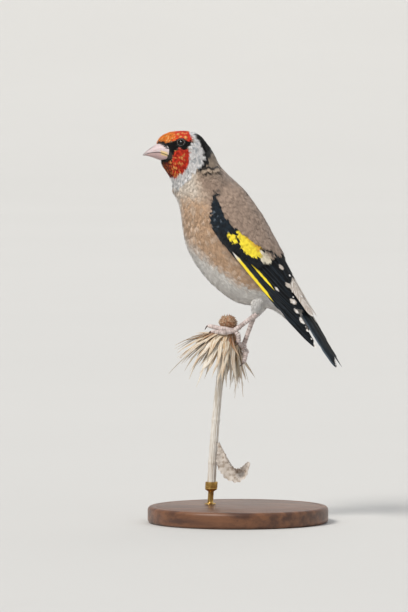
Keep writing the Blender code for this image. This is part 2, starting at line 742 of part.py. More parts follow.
def build_thistle(finish):
    foot, up, side, depth = thistle_frame()
    rings = []
    for height, radius in THISTLE_PROFILE:
        turns = [2 * math.pi * j / 16 for j in range(16)]
        middle = foot + up * height
        rings.append([middle + radius * (side * math.cos(a) + depth * math.sin(a)) for a in turns])
    thistle = solid("perch_thistle", *loft(rings))
    blades = []
    for number, (count, height, length, width, extra) in enumerate(BRACT_TIERS):
        for k in range(count):
            turn = 2 * math.pi * (k + 0.5 * (number % 2)) / count + random.uniform(-0.1, 0.1)
            size = length * random.uniform(0.9, 1.08)
            level = height + random.uniform(-0.4, 0.4)
            blades.append(solid("bract", *bract(turn, level, size, width, extra)))
    boolean(thistle, blades, "UNION", "MANIFOLD")
    cutters = []
    for leg in LEGS.values():
        cutters.append(solid("cut", *shank_tube(leg, GAP)))
        for toe in leg["toes"]:
            cutters.append(solid("cut", *toe_tube(leg, toe, GAP)))
            cutters.append(solid("cut", *claw_tube(toe, GAP)))
    boolean(thistle, cutters, "DIFFERENCE", "MANIFOLD")
    keep_largest(thistle)
    finish_as(thistle, finish, 30)


def stem_path(count, extend=0.0):
    points = smooth(np.linspace(0, len(STEM_POINTS) - 1, count), [(x, 0.0, z) for x, z in STEM_POINTS])
    radii = smooth(np.linspace(0, len(STEM_R) - 1, count), [(r,) for r in STEM_R])[:, 0]
    return points, radii + extend


def build_stem(finishes):
    points, radii = stem_path(10)
    stem = solid("perch_stem", *tube(points, radii, 12))
    finish_as(stem, finishes["stem"])
    rows = 9
    path = smooth(np.linspace(0, len(LEAF_POINTS) - 1, rows), LEAF_POINTS)
    half = smooth(np.linspace(0, len(LEAF_HALF_WIDTH) - 1, rows), [(w,) for w in LEAF_HALF_WIDTH])[:, 0]
    along = [unit(v) for v in np.gradient(path, axis=0)]
    top = []
    bottom = []
    for p, a, w in zip(path, along, half):
        across = unit(np.cross(a, (0.25, 1.0, 0.35)))
        normal = np.cross(a, across)
        row = [p + across * w * b + normal * (0.9 * w * (abs(b) ** 1.5) * 0.8) for b in (-1, -0.5, 0, 0.5, 1)]
        top.append(row)
        bottom.append([q - normal * 0.55 for q in row])
    leaf = solid("perch_leaf", *patch(top, bottom))
    points, radii = stem_path(10, GAP)
    boolean(leaf, [solid("cut", *tube(points, radii, 12))], "DIFFERENCE")
    keep_largest(leaf)
    finish_as(leaf, finishes["leaf"])


def build_stand(finishes):
    def turned(name, profile, centre, lean, sides, finish):
        rings = []
        for radius, height in profile:
            turns = [2 * math.pi * j / sides for j in range(sides)]
            rings.append([np.array((centre[0] + lean * height + radius * math.cos(a), radius * math.sin(a),
                                    centre[1] + height)) for a in turns])
        piece = solid(name, *loft(rings))
        finish_as(piece, finish)

    c = BASE_CHAMFER
    turned("stand_base", ((BASE_R - c, 0), (BASE_R, c), (BASE_R, BASE_HIGH - c), (BASE_R - c, BASE_HIGH)),
           (0.0, 0.0), 0.0, 48, finishes["wood"])
    lean = (STEM_POINTS[1][0] - STEM_POINTS[0][0]) / (STEM_POINTS[1][1] - STEM_POINTS[0][1])
    foot_z = BASE_HIGH + GAP
    reach = STEM_POINTS[0][1] - foot_z
    foot_x = STEM_POINTS[0][0] - lean * reach
    floor = reach - GAP
    rim = floor + CUP_DEPTH
    bore = STEM_R[0] + GAP
    turned("stand_rod", ((ROD_R + 1.2, 0), (ROD_R + 1.2, 0.5), (ROD_R, 0.8), (ROD_R, rim - CUP_HIGH - 0.8),
                         (CUP_R, rim - CUP_HIGH), (CUP_R, rim), (bore, rim), (bore, floor)),
           (foot_x, foot_z), lean, 16, finishes["metal"])


def main():
    for obj in list(bpy.data.objects):
        bpy.data.objects.remove(obj)
    finishes = {
        "face": material("face_feathers", (0.62, 0.10, 0.05), 0.8),
        "back": material("body_feathers", (0.40, 0.30, 0.22), 0.85),
        "belly": material("belly_feathers", (0.72, 0.69, 0.64), 0.85),
        "wing": material("wing_feathers", (0.03, 0.03, 0.035), 0.6),
        "bill": material("bill_horn", (0.78, 0.68, 0.63), 0.4),
        "eye": material("eye_gloss", (0.01, 0.008, 0.006), 0.05),
        "leg": material("leg_skin", (0.62, 0.48, 0.45), 0.6),
        "claw": material("claw_horn", (0.20, 0.15, 0.13), 0.4),
        "thistle": material("dry_bracts", (0.62, 0.50, 0.36), 0.9),
        "stem": material("dry_stem", (0.74, 0.70, 0.64), 0.85),
        "leaf": material("dry_leaf", (0.50, 0.46, 0.38), 0.9),
        "wood": material("stand_wood", (0.16, 0.09, 0.05), 0.45),
        "metal": material("stand_brass", (0.60, 0.46, 0.22), 0.35, 1.0),
    }
    last = len(BODY_STATIONS) - 1

    def torso_cutter():
        return solid("cut", *loft(body_rings(station(NECK_CUT) - 1, last, 2, GAP)))

    def tail_cutter():
        return solid("cut", *tail_sleeve(TAIL_BLOCK_FROM - GAP, 54.0, GAP))

    plumage = solid("plumage", *loft(body_rings(0, last)))
    build_bill(finishes["bill"])
    build_head(plumage, finishes)
    point, normal = cut_plane(HEAD_CUT, GAP / 2)
    bisected(plumage, "neck", [(point, -normal), cut_plane(NECK_CUT, -GAP / 2)], finishes["back"])
    point, normal = cut_plane(NECK_CUT, GAP / 2)
    torso = bisected(plumage, "torso", [(point, -normal)], finishes["back"])
    boolean(torso, [tail_cutter()], "DIFFERENCE")
    keep_largest(torso)
    finish_as(torso, finishes["back"])
    bpy.data.objects.remove(plumage)
    for side, word in ((-1, "left"), (1, "right")):
        build_wing(side, word, torso_cutter, tail_cutter, finishes["wing"])
        build_leg(word, torso_cutter, finishes)
    build_tail(finishes["wing"])
    build_thistle(finishes["thistle"])
    build_stem(finishes)
    build_stand(finishes)


main()
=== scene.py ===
import math

import bpy
import numpy as np
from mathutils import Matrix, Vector
from mathutils.kdtree import KDTree


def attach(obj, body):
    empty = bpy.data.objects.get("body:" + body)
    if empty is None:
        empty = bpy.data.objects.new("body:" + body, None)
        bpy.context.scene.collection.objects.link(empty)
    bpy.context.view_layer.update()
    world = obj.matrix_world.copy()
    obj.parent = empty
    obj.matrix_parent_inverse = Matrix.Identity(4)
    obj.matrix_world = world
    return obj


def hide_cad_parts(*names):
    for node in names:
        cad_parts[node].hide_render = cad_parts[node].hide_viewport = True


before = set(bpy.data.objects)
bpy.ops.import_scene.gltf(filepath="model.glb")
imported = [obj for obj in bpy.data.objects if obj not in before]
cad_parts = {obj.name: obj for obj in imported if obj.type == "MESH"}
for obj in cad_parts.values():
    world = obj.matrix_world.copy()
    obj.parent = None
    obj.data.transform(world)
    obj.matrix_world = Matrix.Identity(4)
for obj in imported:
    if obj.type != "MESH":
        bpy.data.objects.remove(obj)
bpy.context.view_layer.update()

# The studio: a seamless pale bowl of matt board that the stand rests in, and a long lens set level
# with the bird, 22 degrees round from its left side. Lengths in this file are millimetres, and
# every mesh is written in metres.
MM = 0.001
VIEW_ROUND = math.radians(22)
VIEW_OVER = math.radians(3)
VIEW_AWAY = 3.0
FRAME_HIGH = 0.25704
FRAME_MIDDLE = (-0.01428, 0.09114)
BOARD = (0.60, 0.595, 0.58)
BOWL_PROFILE = ((0, 0), (1500, 0), (4000, 0), (5200, 120), (6200, 700), (6700, 1700), (6900, 3200))
BOWL_SIDES = 96


class Wire:
    """A number, colour or direction in a finish, which takes part in plain arithmetic."""

    def __init__(self, finish, socket):
        self.finish = finish
        self.socket = socket

    def maths(self, operation, *values):
        return self.finish.node("ShaderNodeMath", {"operation": operation}, dict(enumerate(values)))

    def __add__(self, other):
        return self.maths("ADD", self, other)

    def __sub__(self, other):
        return self.maths("SUBTRACT", self, other)

    def __rsub__(self, other):
        return self.maths("SUBTRACT", other, self)

    def __mul__(self, other):
        return self.maths("MULTIPLY", self, other)

    def __truediv__(self, other):
        return self.maths("DIVIDE", self, other)

    def __abs__(self):
        return self.maths("ABSOLUTE", self)

    __radd__ = __add__
    __rmul__ = __mul__

    def over(self, other):
        return self.maths("MAXIMUM", self, other)

    def under(self, other):
        return self.maths("MINIMUM", self, other)

    def ramp(self, low, high, start=0.0, end=1.0):
        """Eases from start to end as this goes from low to high, or the other way where low is more."""
        return self.finish.node("ShaderNodeMapRange", {"interpolation_type": "SMOOTHSTEP"},
                                {0: self, 1: low, 2: high, 3: start, 4: end})


class Finish:
    """A material, which is made by calling its nodes and then its surface."""

    def __init__(self, name):
        self.material = bpy.data.materials.new(name)
        self.material.use_nodes = True
        self.tree = self.material.node_tree
        self.tree.nodes.clear()

    def node(self, kind, settings=None, sockets=None, out=0):
        made = self.tree.nodes.new(kind)
        for name, value in (settings or {}).items():
            setattr(made, name, value)
        for name, value in (sockets or {}).items():
            if isinstance(value, Wire):
                self.tree.links.new(value.socket, made.inputs[name])
            elif hasattr(value, "__len__") and made.inputs[name].type == "RGBA":
                made.inputs[name].default_value = (*value, 1.0)
            else:
                made.inputs[name].default_value = value
        return Wire(self, made.outputs[out])

    def mix(self, share, first, second):
        """A colour that goes from the first to the second as share goes from 0 to 1."""
        return self.node("ShaderNodeMix", {"data_type": "RGBA"}, {0: share, 6: first, 7: second}, 2)

    def stored(self, name, out=2):
        """What the mesh keeps by this name: out 0 is a colour, 1 a vector and 2 a number."""
        return self.node("ShaderNodeAttribute", {"attribute_name": name}, {}, out)

    def three_stored(self, name):
        """The three numbers that the mesh keeps together by this name."""
        first = self.node("ShaderNodeSeparateXYZ", {}, {0: self.stored(name, 1)})
        return [Wire(self, first.socket.node.outputs[i]) for i in range(3)]

    def place(self):
        """Where a point of the piece is, in metres."""
        return self.node("ShaderNodeTexCoord", {}, {}, 3)

    def noise(self, size, detail=2.0, pull=None):
        """Cloudy variation from 0 to 1, in blotches of this many millimetres, longer where pull is less."""
        spot = self.place()
        if pull:
            spot = self.node("ShaderNodeVectorMath", {"operation": "MULTIPLY"}, {0: spot, 1: pull})
        sockets = {"Vector": spot, "Scale": 1 / (size * MM), "Detail": detail}
        return self.node("ShaderNodeTexNoise", {}, sockets)

    def strands(self, x, y, z, detail):
        """Variation from 0 to 1 that runs by three numbers of the piece's own, one blotch for each 1."""
        run = self.node("ShaderNodeCombineXYZ", {}, {0: x, 1: y, 2: z})
        return self.node("ShaderNodeTexNoise", {}, {"Vector": run, "Scale": 1.0, "Detail": detail})

    def bump(self, height, depth, normal=None):
        """Relief of this many millimetres where height goes from 0 to 1."""
        sockets = {"Height": height, "Distance": depth * MM, "Strength": 1.0}
        if normal:
            sockets["Normal"] = normal
        return self.node("ShaderNodeBump", {}, sockets)

    def surface(self, colour, roughness, **sockets):
        given = {"Base Color": colour, "Roughness": roughness}
        given.update({name.replace("_", " "): value for name, value in sockets.items()})
        made = self.node("ShaderNodeBsdfPrincipled", {}, given)
        last = self.tree.nodes.new("ShaderNodeOutputMaterial")
        self.tree.links.new(made.socket, last.inputs["Surface"])
        return self


def in_scene(name, data):
    """An object of this mesh, lamp or lens, put in the scene."""
    made = bpy.data.objects.new(name, data)
    bpy.context.scene.collection.objects.link(made)
    return made


def shown(name, points, faces, finish, sharp=None):
    """An object in the row's frame from points in millimetres."""
    mesh = bpy.data.meshes.new(name)
    mesh.from_pydata((np.asarray(points, float).reshape(-1, 3) * MM).tolist(), [], faces)
    mesh.materials.append(finish.material)
    mesh.shade_smooth()
    if sharp:
        mesh.set_sharp_from_angle(angle=math.radians(sharp))
    return in_scene(name, mesh)


def turns_of(count):
    """Angles of so many even steps round a circle."""
    return np.linspace(0, 2 * math.pi, count + 1)[:-1]


def strips(rows, cols, closed=False):
    """Faces between the rows of a grid of points, whose rows may close on themselves."""
    faces = []
    for i in range(rows - 1):
        for j in range(cols if closed else cols - 1):
            k = (j + 1) % cols
            faces.append((i * cols + j, i * cols + k, (i + 1) * cols + k, (i + 1) * cols + j))
    return faces


def direction(turn, over):
    """The way to a far point, turned round from the bird's left side and so far over the floor."""
    return Vector((math.sin(turn) * math.cos(over), -math.cos(turn) * math.cos(over), math.sin(over)))


back = direction(VIEW_ROUND, VIEW_OVER)
right = Vector((math.cos(VIEW_ROUND), math.sin(VIEW_ROUND), 0.0))
look_at = right * FRAME_MIDDLE[0] + Vector((0, 0, FRAME_MIDDLE[1]))
camera = in_scene("camera", bpy.data.cameras.new("camera"))
camera.location = look_at + back * VIEW_AWAY
camera.rotation_euler = (-back).to_track_quat("-Z", "Y").to_euler()
camera.data.lens = camera.data.sensor_width * VIEW_AWAY / FRAME_HIGH
camera.data.clip_start = 0.1
camera.data.clip_end = 40
bpy.context.scene.camera = camera
bpy.context.scene.view_settings.view_transform = "Standard"

board = Finish("studio_board")
board_tone = board.noise(400.0, 3.0).ramp(0.3, 0.7)
board.surface(board.mix(board_tone, BOARD, [c * 0.985 for c in BOARD]), 0.95)
bowl_points = [(r * math.cos(a), r * math.sin(a), z) for r, z in BOWL_PROFILE for a in turns_of(BOWL_SIDES)]
bowl = shown("studio_bowl", bowl_points, strips(len(BOWL_PROFILE), BOWL_SIDES, True), board)


def lamp(name, round_by, over, softness, strength, colour):
    """A far soft light, turned so many degrees from the camera's own side, and so many over the floor."""
    light = bpy.data.lights.new(name, "SUN")
    light.angle = math.radians(softness)
    light.energy = strength
    light.color = colour
    held = in_scene(name, light)
    towards = direction(VIEW_ROUND + math.radians(round_by), math.radians(over))
    held.rotation_euler = towards.to_track_quat("Z", "Y").to_euler()
    return held


lamp("key_light", -42, 46, 20, 2.6, (1.0, 0.965, 0.91))
lamp("fill_light", 50, 24, 60, 0.45, (0.93, 0.96, 1.0))
lamp("rim_light", 165, 50, 40, 0.5, (1.0, 0.98, 0.95))
# A small soft box that only the eyes mirror gives them their white catch light.
catch_light = lamp("catch_light", -20, 21, 38, 9.0, (1.0, 1.0, 1.0))
world = bpy.data.worlds.new("studio_air")
bpy.context.scene.world = world
world.use_nodes = True
world.node_tree.nodes["Background"].inputs["Color"].default_value = (0.92, 0.95, 1.0, 1.0)
world.node_tree.nodes["Background"].inputs["Strength"].default_value = 0.5

# The bird's form: the outer face of its plumage, from the bill's root to the tips of the under-tail
# coverts. Each station gives the back line and the belly line as (distance along, height) in the
# bird's own middle plane, half the width, and how far the neck has turned there, in degrees.
BODY_STATIONS = (
    ((-35.6, 159.1), (-33.2, 152.2), 1.7, 22), ((-33.3, 162.2), (-32.8, 150.2), 3.0, 22),
    ((-30.2, 163.9), (-31.6, 148.3), 4.3, 22), ((-26.0, 164.6), (-30.4, 146.6), 7.9, 22),
    ((-21.2, 164.4), (-29.3, 144.9), 8.8, 22), ((-16.9, 162.8), (-28.5, 143.0), 8.7, 21),
    ((-13.5, 158.9), (-27.9, 140.9), 8.8, 18), ((-11.1, 155.4), (-27.4, 138.8), 9.4, 13),
    ((-8.8, 150.4), (-26.7, 136.5), 10.5, 8), ((-4.8, 145.1), (-25.7, 133.1), 12.2, 4),
    ((0.2, 139.2), (-24.6, 128.5), 13.6, 1), ((5.7, 132.0), (-23.8, 122.2), 14.4, 0),
    ((9.9, 125.4), (-22.0, 115.1), 14.5, 0), ((13.5, 118.6), (-17.6, 107.5), 13.9, 0),
    ((16.6, 112.5), (-10.0, 99.1), 12.6, 0), ((19.4, 107.9), (0.0, 92.5), 10.7, 0),
    ((22.2, 103.6), (8.9, 91.0), 8.6, 0), ((25.3, 99.4), (15.8, 89.8), 6.8, 0),
    ((28.6, 94.1), (21.8, 86.1), 5.7, 0), ((31.2, 87.9), (26.9, 81.3), 4.2, 0),
    ((32.5, 83.6), (30.2, 79.0), 1.8, 0),
)
NECK_PIVOT = -10.4
HEAD_TURN = math.radians(22.0)
SIDEWAYS = np.array((0.0, 1.0, 0.0))
LEG_LINES = {-1: ((12.6, -5.5, 98.6), (9.5, -5.6, 87.4)), 1: ((12.0, 5.5, 98.6), (4.6, 5.2, 85.3))}
THIGH_R = (1.0, 1.9, 2.8, 3.1, 2.8, 2.1, 1.25)
THIGH_FLAT = 0.82


def smooth(places, rows):
    """Catmull-Rom curve through the rows of a table, read at the given places along it."""
    table = np.array(rows, float)
    at = np.asarray(places, float)
    last = len(table) - 1
    step = np.clip(np.floor(at).astype(int), 0, last - 1)
    u = (at - step).reshape(at.shape + (1,) * (table.ndim - 1))
    before, here = table[np.maximum(step - 1, 0)], table[step]
    there, after = table[step + 1], table[np.minimum(step + 2, last)]
    return 0.5 * (2 * here + (there - before) * u + (2 * before - 5 * here + 4 * there - after) * u**2
                  + (3 * here - before - 3 * there + after) * u**3)


def unit(v):
    return v / np.maximum(np.linalg.norm(v, axis=-1, keepdims=True), 1e-9)


def bowed(x, power):
    """A sine or cosine made squarer by a power under 1, or slimmer by one over 1."""
    return np.sign(x) * np.abs(x) ** power


def spokes(turns, across, up):
    """Directions all round a path, at angles from across towards up."""
    across, up = np.asarray(across)[..., None, :], np.asarray(up)[..., None, :]
    return np.cos(turns)[:, None] * across + np.sin(turns)[:, None] * up


def neck_turned(own, turn):
    """Points of the bird's own straight form (along, side, height), turned about the neck."""
    reach = own[..., 0] - NECK_PIVOT
    side = own[..., 1]
    return np.stack((NECK_PIVOT + reach * np.cos(turn) - side * np.sin(turn),
                     reach * np.sin(turn) + side * np.cos(turn), own[..., 2]), -1)


def head_place(along, height, side=0.0):
    """A point of the head from its place (along, height, side) on the bird's own straight form."""
    return neck_turned(np.array((along, side, height), float), HEAD_TURN)


class Form:
    """A surface that feathers are laid on, known by a grid of points along it and round it."""

    def __init__(self, placed, own, closed=True):
        self.placed, self.own, self.closed = placed, own, closed
        rows, cols = placed.shape[:2]
        along = np.gradient(placed, axis=0)
        if closed:
            around = (np.roll(placed, -1, 1) - np.roll(placed, 1, 1)) / 2
        else:
            around = np.gradient(placed, axis=1)
        self.normal = unit(np.cross(along, around))
        middle = placed.mean(1, keepdims=True) if closed else np.array((10.0, 0.0, 115.0))
        self.outward = -1 if (self.normal * (placed - middle)).sum() < 0 else 1
        self.normal = self.normal * self.outward
        self.pace_along = np.linalg.norm(along, axis=-1) * (rows - 1)
        self.pace_around = np.linalg.norm(around, axis=-1) * (cols if closed else cols - 1)

    def read(self, grid, u, v):
        """The grid's value at shares u along and v round the form."""
        rows, cols = grid.shape[:2]
        a = np.clip(u, 0, 1) * (rows - 1)
        i = np.minimum(a.astype(int), rows - 2)
        b = np.mod(v, 1.0) * cols if self.closed else np.clip(v, 0, 1) * (cols - 1)
        j = b.astype(int) % cols if self.closed else np.minimum(b.astype(int), cols - 2)
        k = (j + 1) % cols
        a = (a - i).reshape(a.shape + (1,) * (grid.ndim - 2))
        b = (b - np.floor(b) if self.closed else b - j).reshape(b.shape + (1,) * (grid.ndim - 2))
        return ((grid[i, j] * (1 - b) + grid[i, k] * b) * (1 - a)
                + (grid[i + 1, j] * (1 - b) + grid[i + 1, k] * b) * a)


def body_own(rows, cols):
    """The body's grid of points on its own straight form, and the neck's turn at each row."""
    table = smooth(np.linspace(0, len(BODY_STATIONS) - 1, rows),
                   [(*top, *low, half, turn) for top, low, half, turn in BODY_STATIONS])
    rise = bowed(np.cos(turns_of(cols)), 0.95)
    out = bowed(np.sin(turns_of(cols)), 0.92)
    middle = (table[:, None, 0:2] + table[:, None, 2:4]) / 2
    up = (table[:, None, 0:2] - table[:, None, 2:4]) / 2
    flat = middle + up * rise[None, :, None]
    side = table[:, None, 4] * out[None, :]
    return np.stack((flat[..., 0], side, flat[..., 1]), -1), np.radians(table[:, 5])[:, None]


own_grid, turn_grid = body_own(321, 192)
body_form = Form(neck_turned(own_grid, turn_grid), own_grid)


def thigh_form(side, grow=0.0):
    """The feathered thigh, a spindle along the leg's line from the hip to just over the ankle."""
    hip, ankle = (np.array(p, float) for p in LEG_LINES[side])
    path = hip + (ankle - hip) * np.linspace(-0.08, 0.93, 61)[:, None]
    radii = smooth(np.linspace(0, len(THIGH_R) - 1, len(path)), THIGH_R) + grow
    line = unit(ankle - hip)
    across = unit(np.cross(line, (0.13, 0.97, 0.21)))
    up = np.cross(line, across) * THIGH_FLAT
    rings = path[:, None] + radii[:, None, None] * spokes(turns_of(48), across, up)
    return Form(rings, rings)


thigh_forms = {side: thigh_form(side) for side in (-1, 1)}

# The plumage's colours, each named for its place on a goldfinch. They are read by a feather's place
# on the bird's own straight form, so that both sides match and the bare skin under the feathers
# carries the same markings.


def paint(red, green, blue):
    """A colour given as the eye reads it, from 0 to 255, for use in light."""
    shares = np.array((red, green, blue)) / 255
    return np.where(shares <= 0.04045, shares / 12.92, ((shares + 0.055) / 1.055) ** 2.4)


FLAME = paint(222, 62, 40)
DEEP_RED = paint(134, 26, 16)
FACE_ORANGE = paint(238, 132, 52)
FLECK = paint(245, 178, 104)
SOOT = paint(10, 9, 9)
THROAT_DARK = paint(78, 30, 12)
CHEEK_WHITE = paint(238, 236, 236)
CHEEK_GREY = paint(186, 190, 194)
NAPE_BROWN = paint(160, 142, 124)
MANTLE_BROWN = paint(158, 136, 120)
BREAST_BUFF = paint(192, 158, 128)
BREAST_PALE = paint(222, 210, 196)
BELLY_WHITE = paint(226, 223, 218)
VENT_WHITE = paint(232, 230, 228)
RUMP_GREY = paint(196, 190, 184)
WEDGE_BLACK = paint(24, 28, 32)

# Outlines of the markings as (along, height) on the head's own straight form.
FACE_RED_AREA = ((-34.8, 153.1), (-32.3, 152.5), (-30.2, 153.3), (-29.3, 154.6), (-28.5, 155.8),
                 (-26.8, 157.3), (-24.7, 157.8), (-23.4, 157.2), (-22.2, 157.9), (-21.5, 157.1),
                 (-21.5, 153.3), (-22.0, 150.4), (-23.2, 148.7), (-24.5, 147.2), (-26.0, 147.4),
                 (-26.6, 145.9), (-28.5, 145.5), (-30.2, 145.3), (-35.2, 145.7))
FOREHEAD_AREA = ((-36.0, 158.8), (-34.8, 159.8), (-33.1, 160.2), (-31.4, 159.8), (-30.2, 159.9),
                 (-29.1, 160.4), (-27.6, 160.9), (-26.4, 161.2), (-24.7, 161.4), (-22.6, 161.0),
                 (-20.8, 160.9), (-20.4, 161.9), (-21.8, 163.4), (-22.2, 166.5), (-36.0, 166.5))
LORE_AREA = ((-36.0, 158.3), (-34.8, 159.8), (-33.1, 160.2), (-31.4, 159.8), (-30.2, 159.9), (-29.1, 160.4),
             (-27.6, 160.9), (-26.4, 161.3), (-24.7, 161.7), (-22.6, 161.1), (-20.7, 160.9), (-20.3, 160.4),
             (-21.8, 159.8), (-22.0, 158.3), (-23.2, 157.2), (-25.1, 157.4), (-26.4, 157.6), (-27.2, 157.1),
             (-27.9, 156.1), (-28.4, 155.3), (-28.7, 154.0), (-29.5, 153.3), (-31.0, 153.5), (-33.5, 155.8),
             (-36.0, 156.7))
CHIN_AREA = ((-36.0, 153.7), (-33.5, 153.3), (-31.0, 153.5), (-29.0, 153.9), (-28.2, 153.0), (-30.0, 151.9),
             (-32.3, 151.1), (-34.4, 150.6), (-36.0, 150.6))
WHITE_AREA = ((-22.2, 167.0), (-21.8, 163.4), (-20.4, 161.9), (-20.3, 160.4), (-21.8, 159.8), (-22.0, 158.5),
              (-21.5, 157.1), (-21.5, 153.3), (-22.0, 150.4), (-23.2, 148.7), (-24.5, 147.2), (-26.0, 147.4),
              (-26.6, 145.9), (-28.5, 145.5), (-33.0, 145.3), (-32.0, 141.1), (-26.4, 139.9), (-23.4, 142.4),
              (-20.1, 144.9), (-17.1, 148.3), (-15.5, 149.9), (-13.8, 153.3), (-13.8, 156.7), (-16.3, 160.0),
              (-18.0, 163.0), (-18.4, 167.0))
BAND_AREA = ((-18.9, 163.0), (-17.9, 161.3), (-16.7, 159.6), (-15.6, 157.9), (-15.0, 156.4), (-15.4, 155.8),
             (-14.2, 154.6), (-14.4, 152.7), (-14.8, 151.2), (-16.3, 149.1), (-15.5, 148.4), (-13.6, 149.7),
             (-12.3, 151.8), (-11.7, 155.0), (-11.2, 157.2), (-9.6, 159.3), (-14.6, 167.0), (-18.6, 167.0))

# The black edge of the wing's shoulder, which runs up into the breast.
WEDGE_AREA = ((-7.2, 141.2), (-6.5, 141.0), (-4.9, 138.2), (-2.6, 135.0), (-2.6, 131.5), (-6.6, 132.0),
              (-7.2, 137.6))
# Where the bill's sides show, with no feathers over them.
BILL_AREA = ((-38.0, 159.0), (-35.4, 159.2), (-33.3, 159.5), (-31.1, 158.6), (-29.6, 156.7), (-28.3, 154.0),
             (-28.3, 153.2), (-31.0, 152.9), (-33.1, 152.6), (-38.0, 152.0))


def within(place, area):
    """How far points (along, height) are inside an outline, in millimetres, less than 0 outside."""
    corners = np.array(area, float)
    ends = np.roll(corners, -1, 0)
    p = place[:, None, :]
    edge = (ends - corners)[None]
    rel = p - corners[None]
    share = np.clip((rel * edge).sum(-1) / (edge**2).sum(-1), 0, 1)
    away = np.linalg.norm(rel - edge * share[..., None], axis=-1).min(1)
    above = (corners[None, :, 1] > p[..., 1]) != (ends[None, :, 1] > p[..., 1])
    crossing = corners[None, :, 0] + (p[..., 1] - corners[None, :, 1]) * edge[..., 0] / np.where(
        edge[..., 1] == 0, 1e-9, edge[..., 1])
    inside = (above & (p[..., 0] < crossing)).sum(1) % 2 == 1
    return np.where(inside, away, -away)


def eased(x, low, high):
    """0 at low and past it, 1 at high and past it, with a soft step between."""
    t = np.clip((x - low) / (high - low), 0, 1)
    return t * t * (3 - 2 * t)


def blended(colour, share, other):
    """Colours that go from the first to the other as share, one number for each, goes from 0 to 1."""
    return colour + (np.asarray(other) - colour) * share[:, None]


def plumage(own, seed):
    """The colour of the feathers at points (along, side, height) of the bird's own straight form."""
    chance = np.random.default_rng(seed)
    count = len(own)
    jag = chance.normal(0, 1, (count, 2))
    pick = chance.random((count, 3))
    along, side, height = own[:, 0], np.abs(own[:, 1]), own[:, 2]
    place = own[:, (0, 2)]
    head_jag = place + jag * 0.16
    # How far from the back towards the belly a point is, from 0 to 1.
    steps = np.linspace(0, len(BODY_STATIONS) - 1, 81)
    lines = (smooth(steps, [row[k] for row in BODY_STATIONS]) for k in (0, 1))
    from_back, from_front = (np.linalg.norm(place[:, None] - line[None], axis=-1).min(1) for line in lines)
    depth = from_back / (from_back + from_front) + jag[:, 0] * 0.02
    colour = np.repeat(MANTLE_BROWN[None], count, 0)
    colour = blended(colour, eased(height, 143, 152), NAPE_BROWN)
    buff = eased(depth, 0.30, 0.5)
    colour = blended(colour, buff, BREAST_BUFF)
    colour = blended(colour, buff * eased(height, 134, 141), BREAST_PALE * 0.8 + NAPE_BROWN * 0.2)
    # The breast's pale front edge, and the belly's silky white below it.
    front = eased(side + jag[:, 0] * 0.8, 9.0, 5.0) * eased(depth, 0.6, 0.85) * eased(height, 138.5, 135.5)
    colour = blended(colour, front * 0.85, BELLY_WHITE)
    mottled = eased(pick[:, 2], 0.72, 0.8) * buff * 0.3
    colour = blended(colour, mottled, BREAST_PALE)
    belly = eased(depth + (120 - height) * 0.011 + jag[:, 1] * 0.03, 0.72, 0.92) * eased(height, 124, 112)
    colour = blended(colour, belly, BELLY_WHITE)
    colour = blended(colour, eased(along, 9, 15) * eased(depth, 0.45, 0.6), VENT_WHITE)
    colour = blended(colour, eased(along, 21, 26) * eased(depth, 0.5, 0.3), RUMP_GREY)
    # The white collar at the throat, the white cheek, the black band and the red face.
    collar = eased(np.hypot(along + 26.6, (height - 144.4) * 1.1), 3.9, 2.8) * eased(side, 8.5, 6.0)
    colour = blended(colour, collar, CHEEK_WHITE)
    tufted = eased(np.hypot((height - 139.9) / 1.5, side / 5.0), 1.15, 0.75) * eased(depth, 0.8, 0.9)
    colour = blended(colour, tufted, BREAST_BUFF * 0.55 + BREAST_PALE * 0.45)
    cheek = blended(CHEEK_WHITE, pick[:, 0] < 0.16, CHEEK_GREY)
    red = blended(FLAME, pick[:, 1] ** 1.8 * 0.8, DEEP_RED)
    flecked = pick[:, 2] < 0.13 + 0.30 * eased(np.hypot((along + 27.8) * 0.8, height - 151.2), 3.6, 1.0)
    red = np.where(flecked[:, None], blended(FLECK, pick[:, 0], FACE_ORANGE), red)
    throat = eased(along + (height - 150) * 0.25 + jag[:, 1] * 0.5, -28.2, -30.2)
    red = blended(red, throat * 0.85, blended(THROAT_DARK, pick[:, 0] < 0.2, FACE_ORANGE * 0.5))
    brow = blended(FACE_ORANGE, eased(along + jag[:, 0] * 0.9, -29.5, -26.0), FLAME)
    brow = np.where(pick[:, :1] < 0.16, FLECK, brow)
    for area, low, high, tone in ((WHITE_AREA, -0.15, 0.25, cheek), (FACE_RED_AREA, -0.15, 0.2, red),
                                  (FOREHEAD_AREA, -0.15, 0.2, brow), (BAND_AREA, -0.25, 0.25, SOOT),
                                  (LORE_AREA, -0.15, 0.2, SOOT), (CHIN_AREA, -0.15, 0.2, SOOT)):
        colour = blended(colour, eased(within(head_jag, area), low, high), tone)
    # Dark gaps of painted shade, and a pale fold, where the nape's feathers are ruffled by the turned neck.
    fold = height - 148.9 + (along + 10.8) * 0.02
    reach = eased(along, -15.2, -14.2) * eased(side, 13.0, 11.0) * eased(along, -5.6, -6.6)
    for rise, thick, tone in ((0.5, 0.5, paint(46, 38, 32)), (-1.1, 0.4, paint(60, 50, 42))):
        gap = eased(np.abs(fold - rise + 0.35 * np.sin(along * 1.9)), thick, thick * 0.4) * reach
        colour = blended(colour, gap * (pick[:, 0] < 0.75) * 0.85, tone)
    # The black edge of the wing's shoulder runs up into the breast feathers as a thin wedge.
    wedge = eased(within(place + jag * 0.25, WEDGE_AREA), -0.3, 0.1) * eased(side, 8.0, 9.5)
    colour = blended(colour, wedge, WEDGE_BLACK)
    crown = eased(along, -20.2, -18.2) * eased(height, 161.2, 162.6) * eased(side, 6.2, 5.0)
    return blended(colour, crown, SOOT)


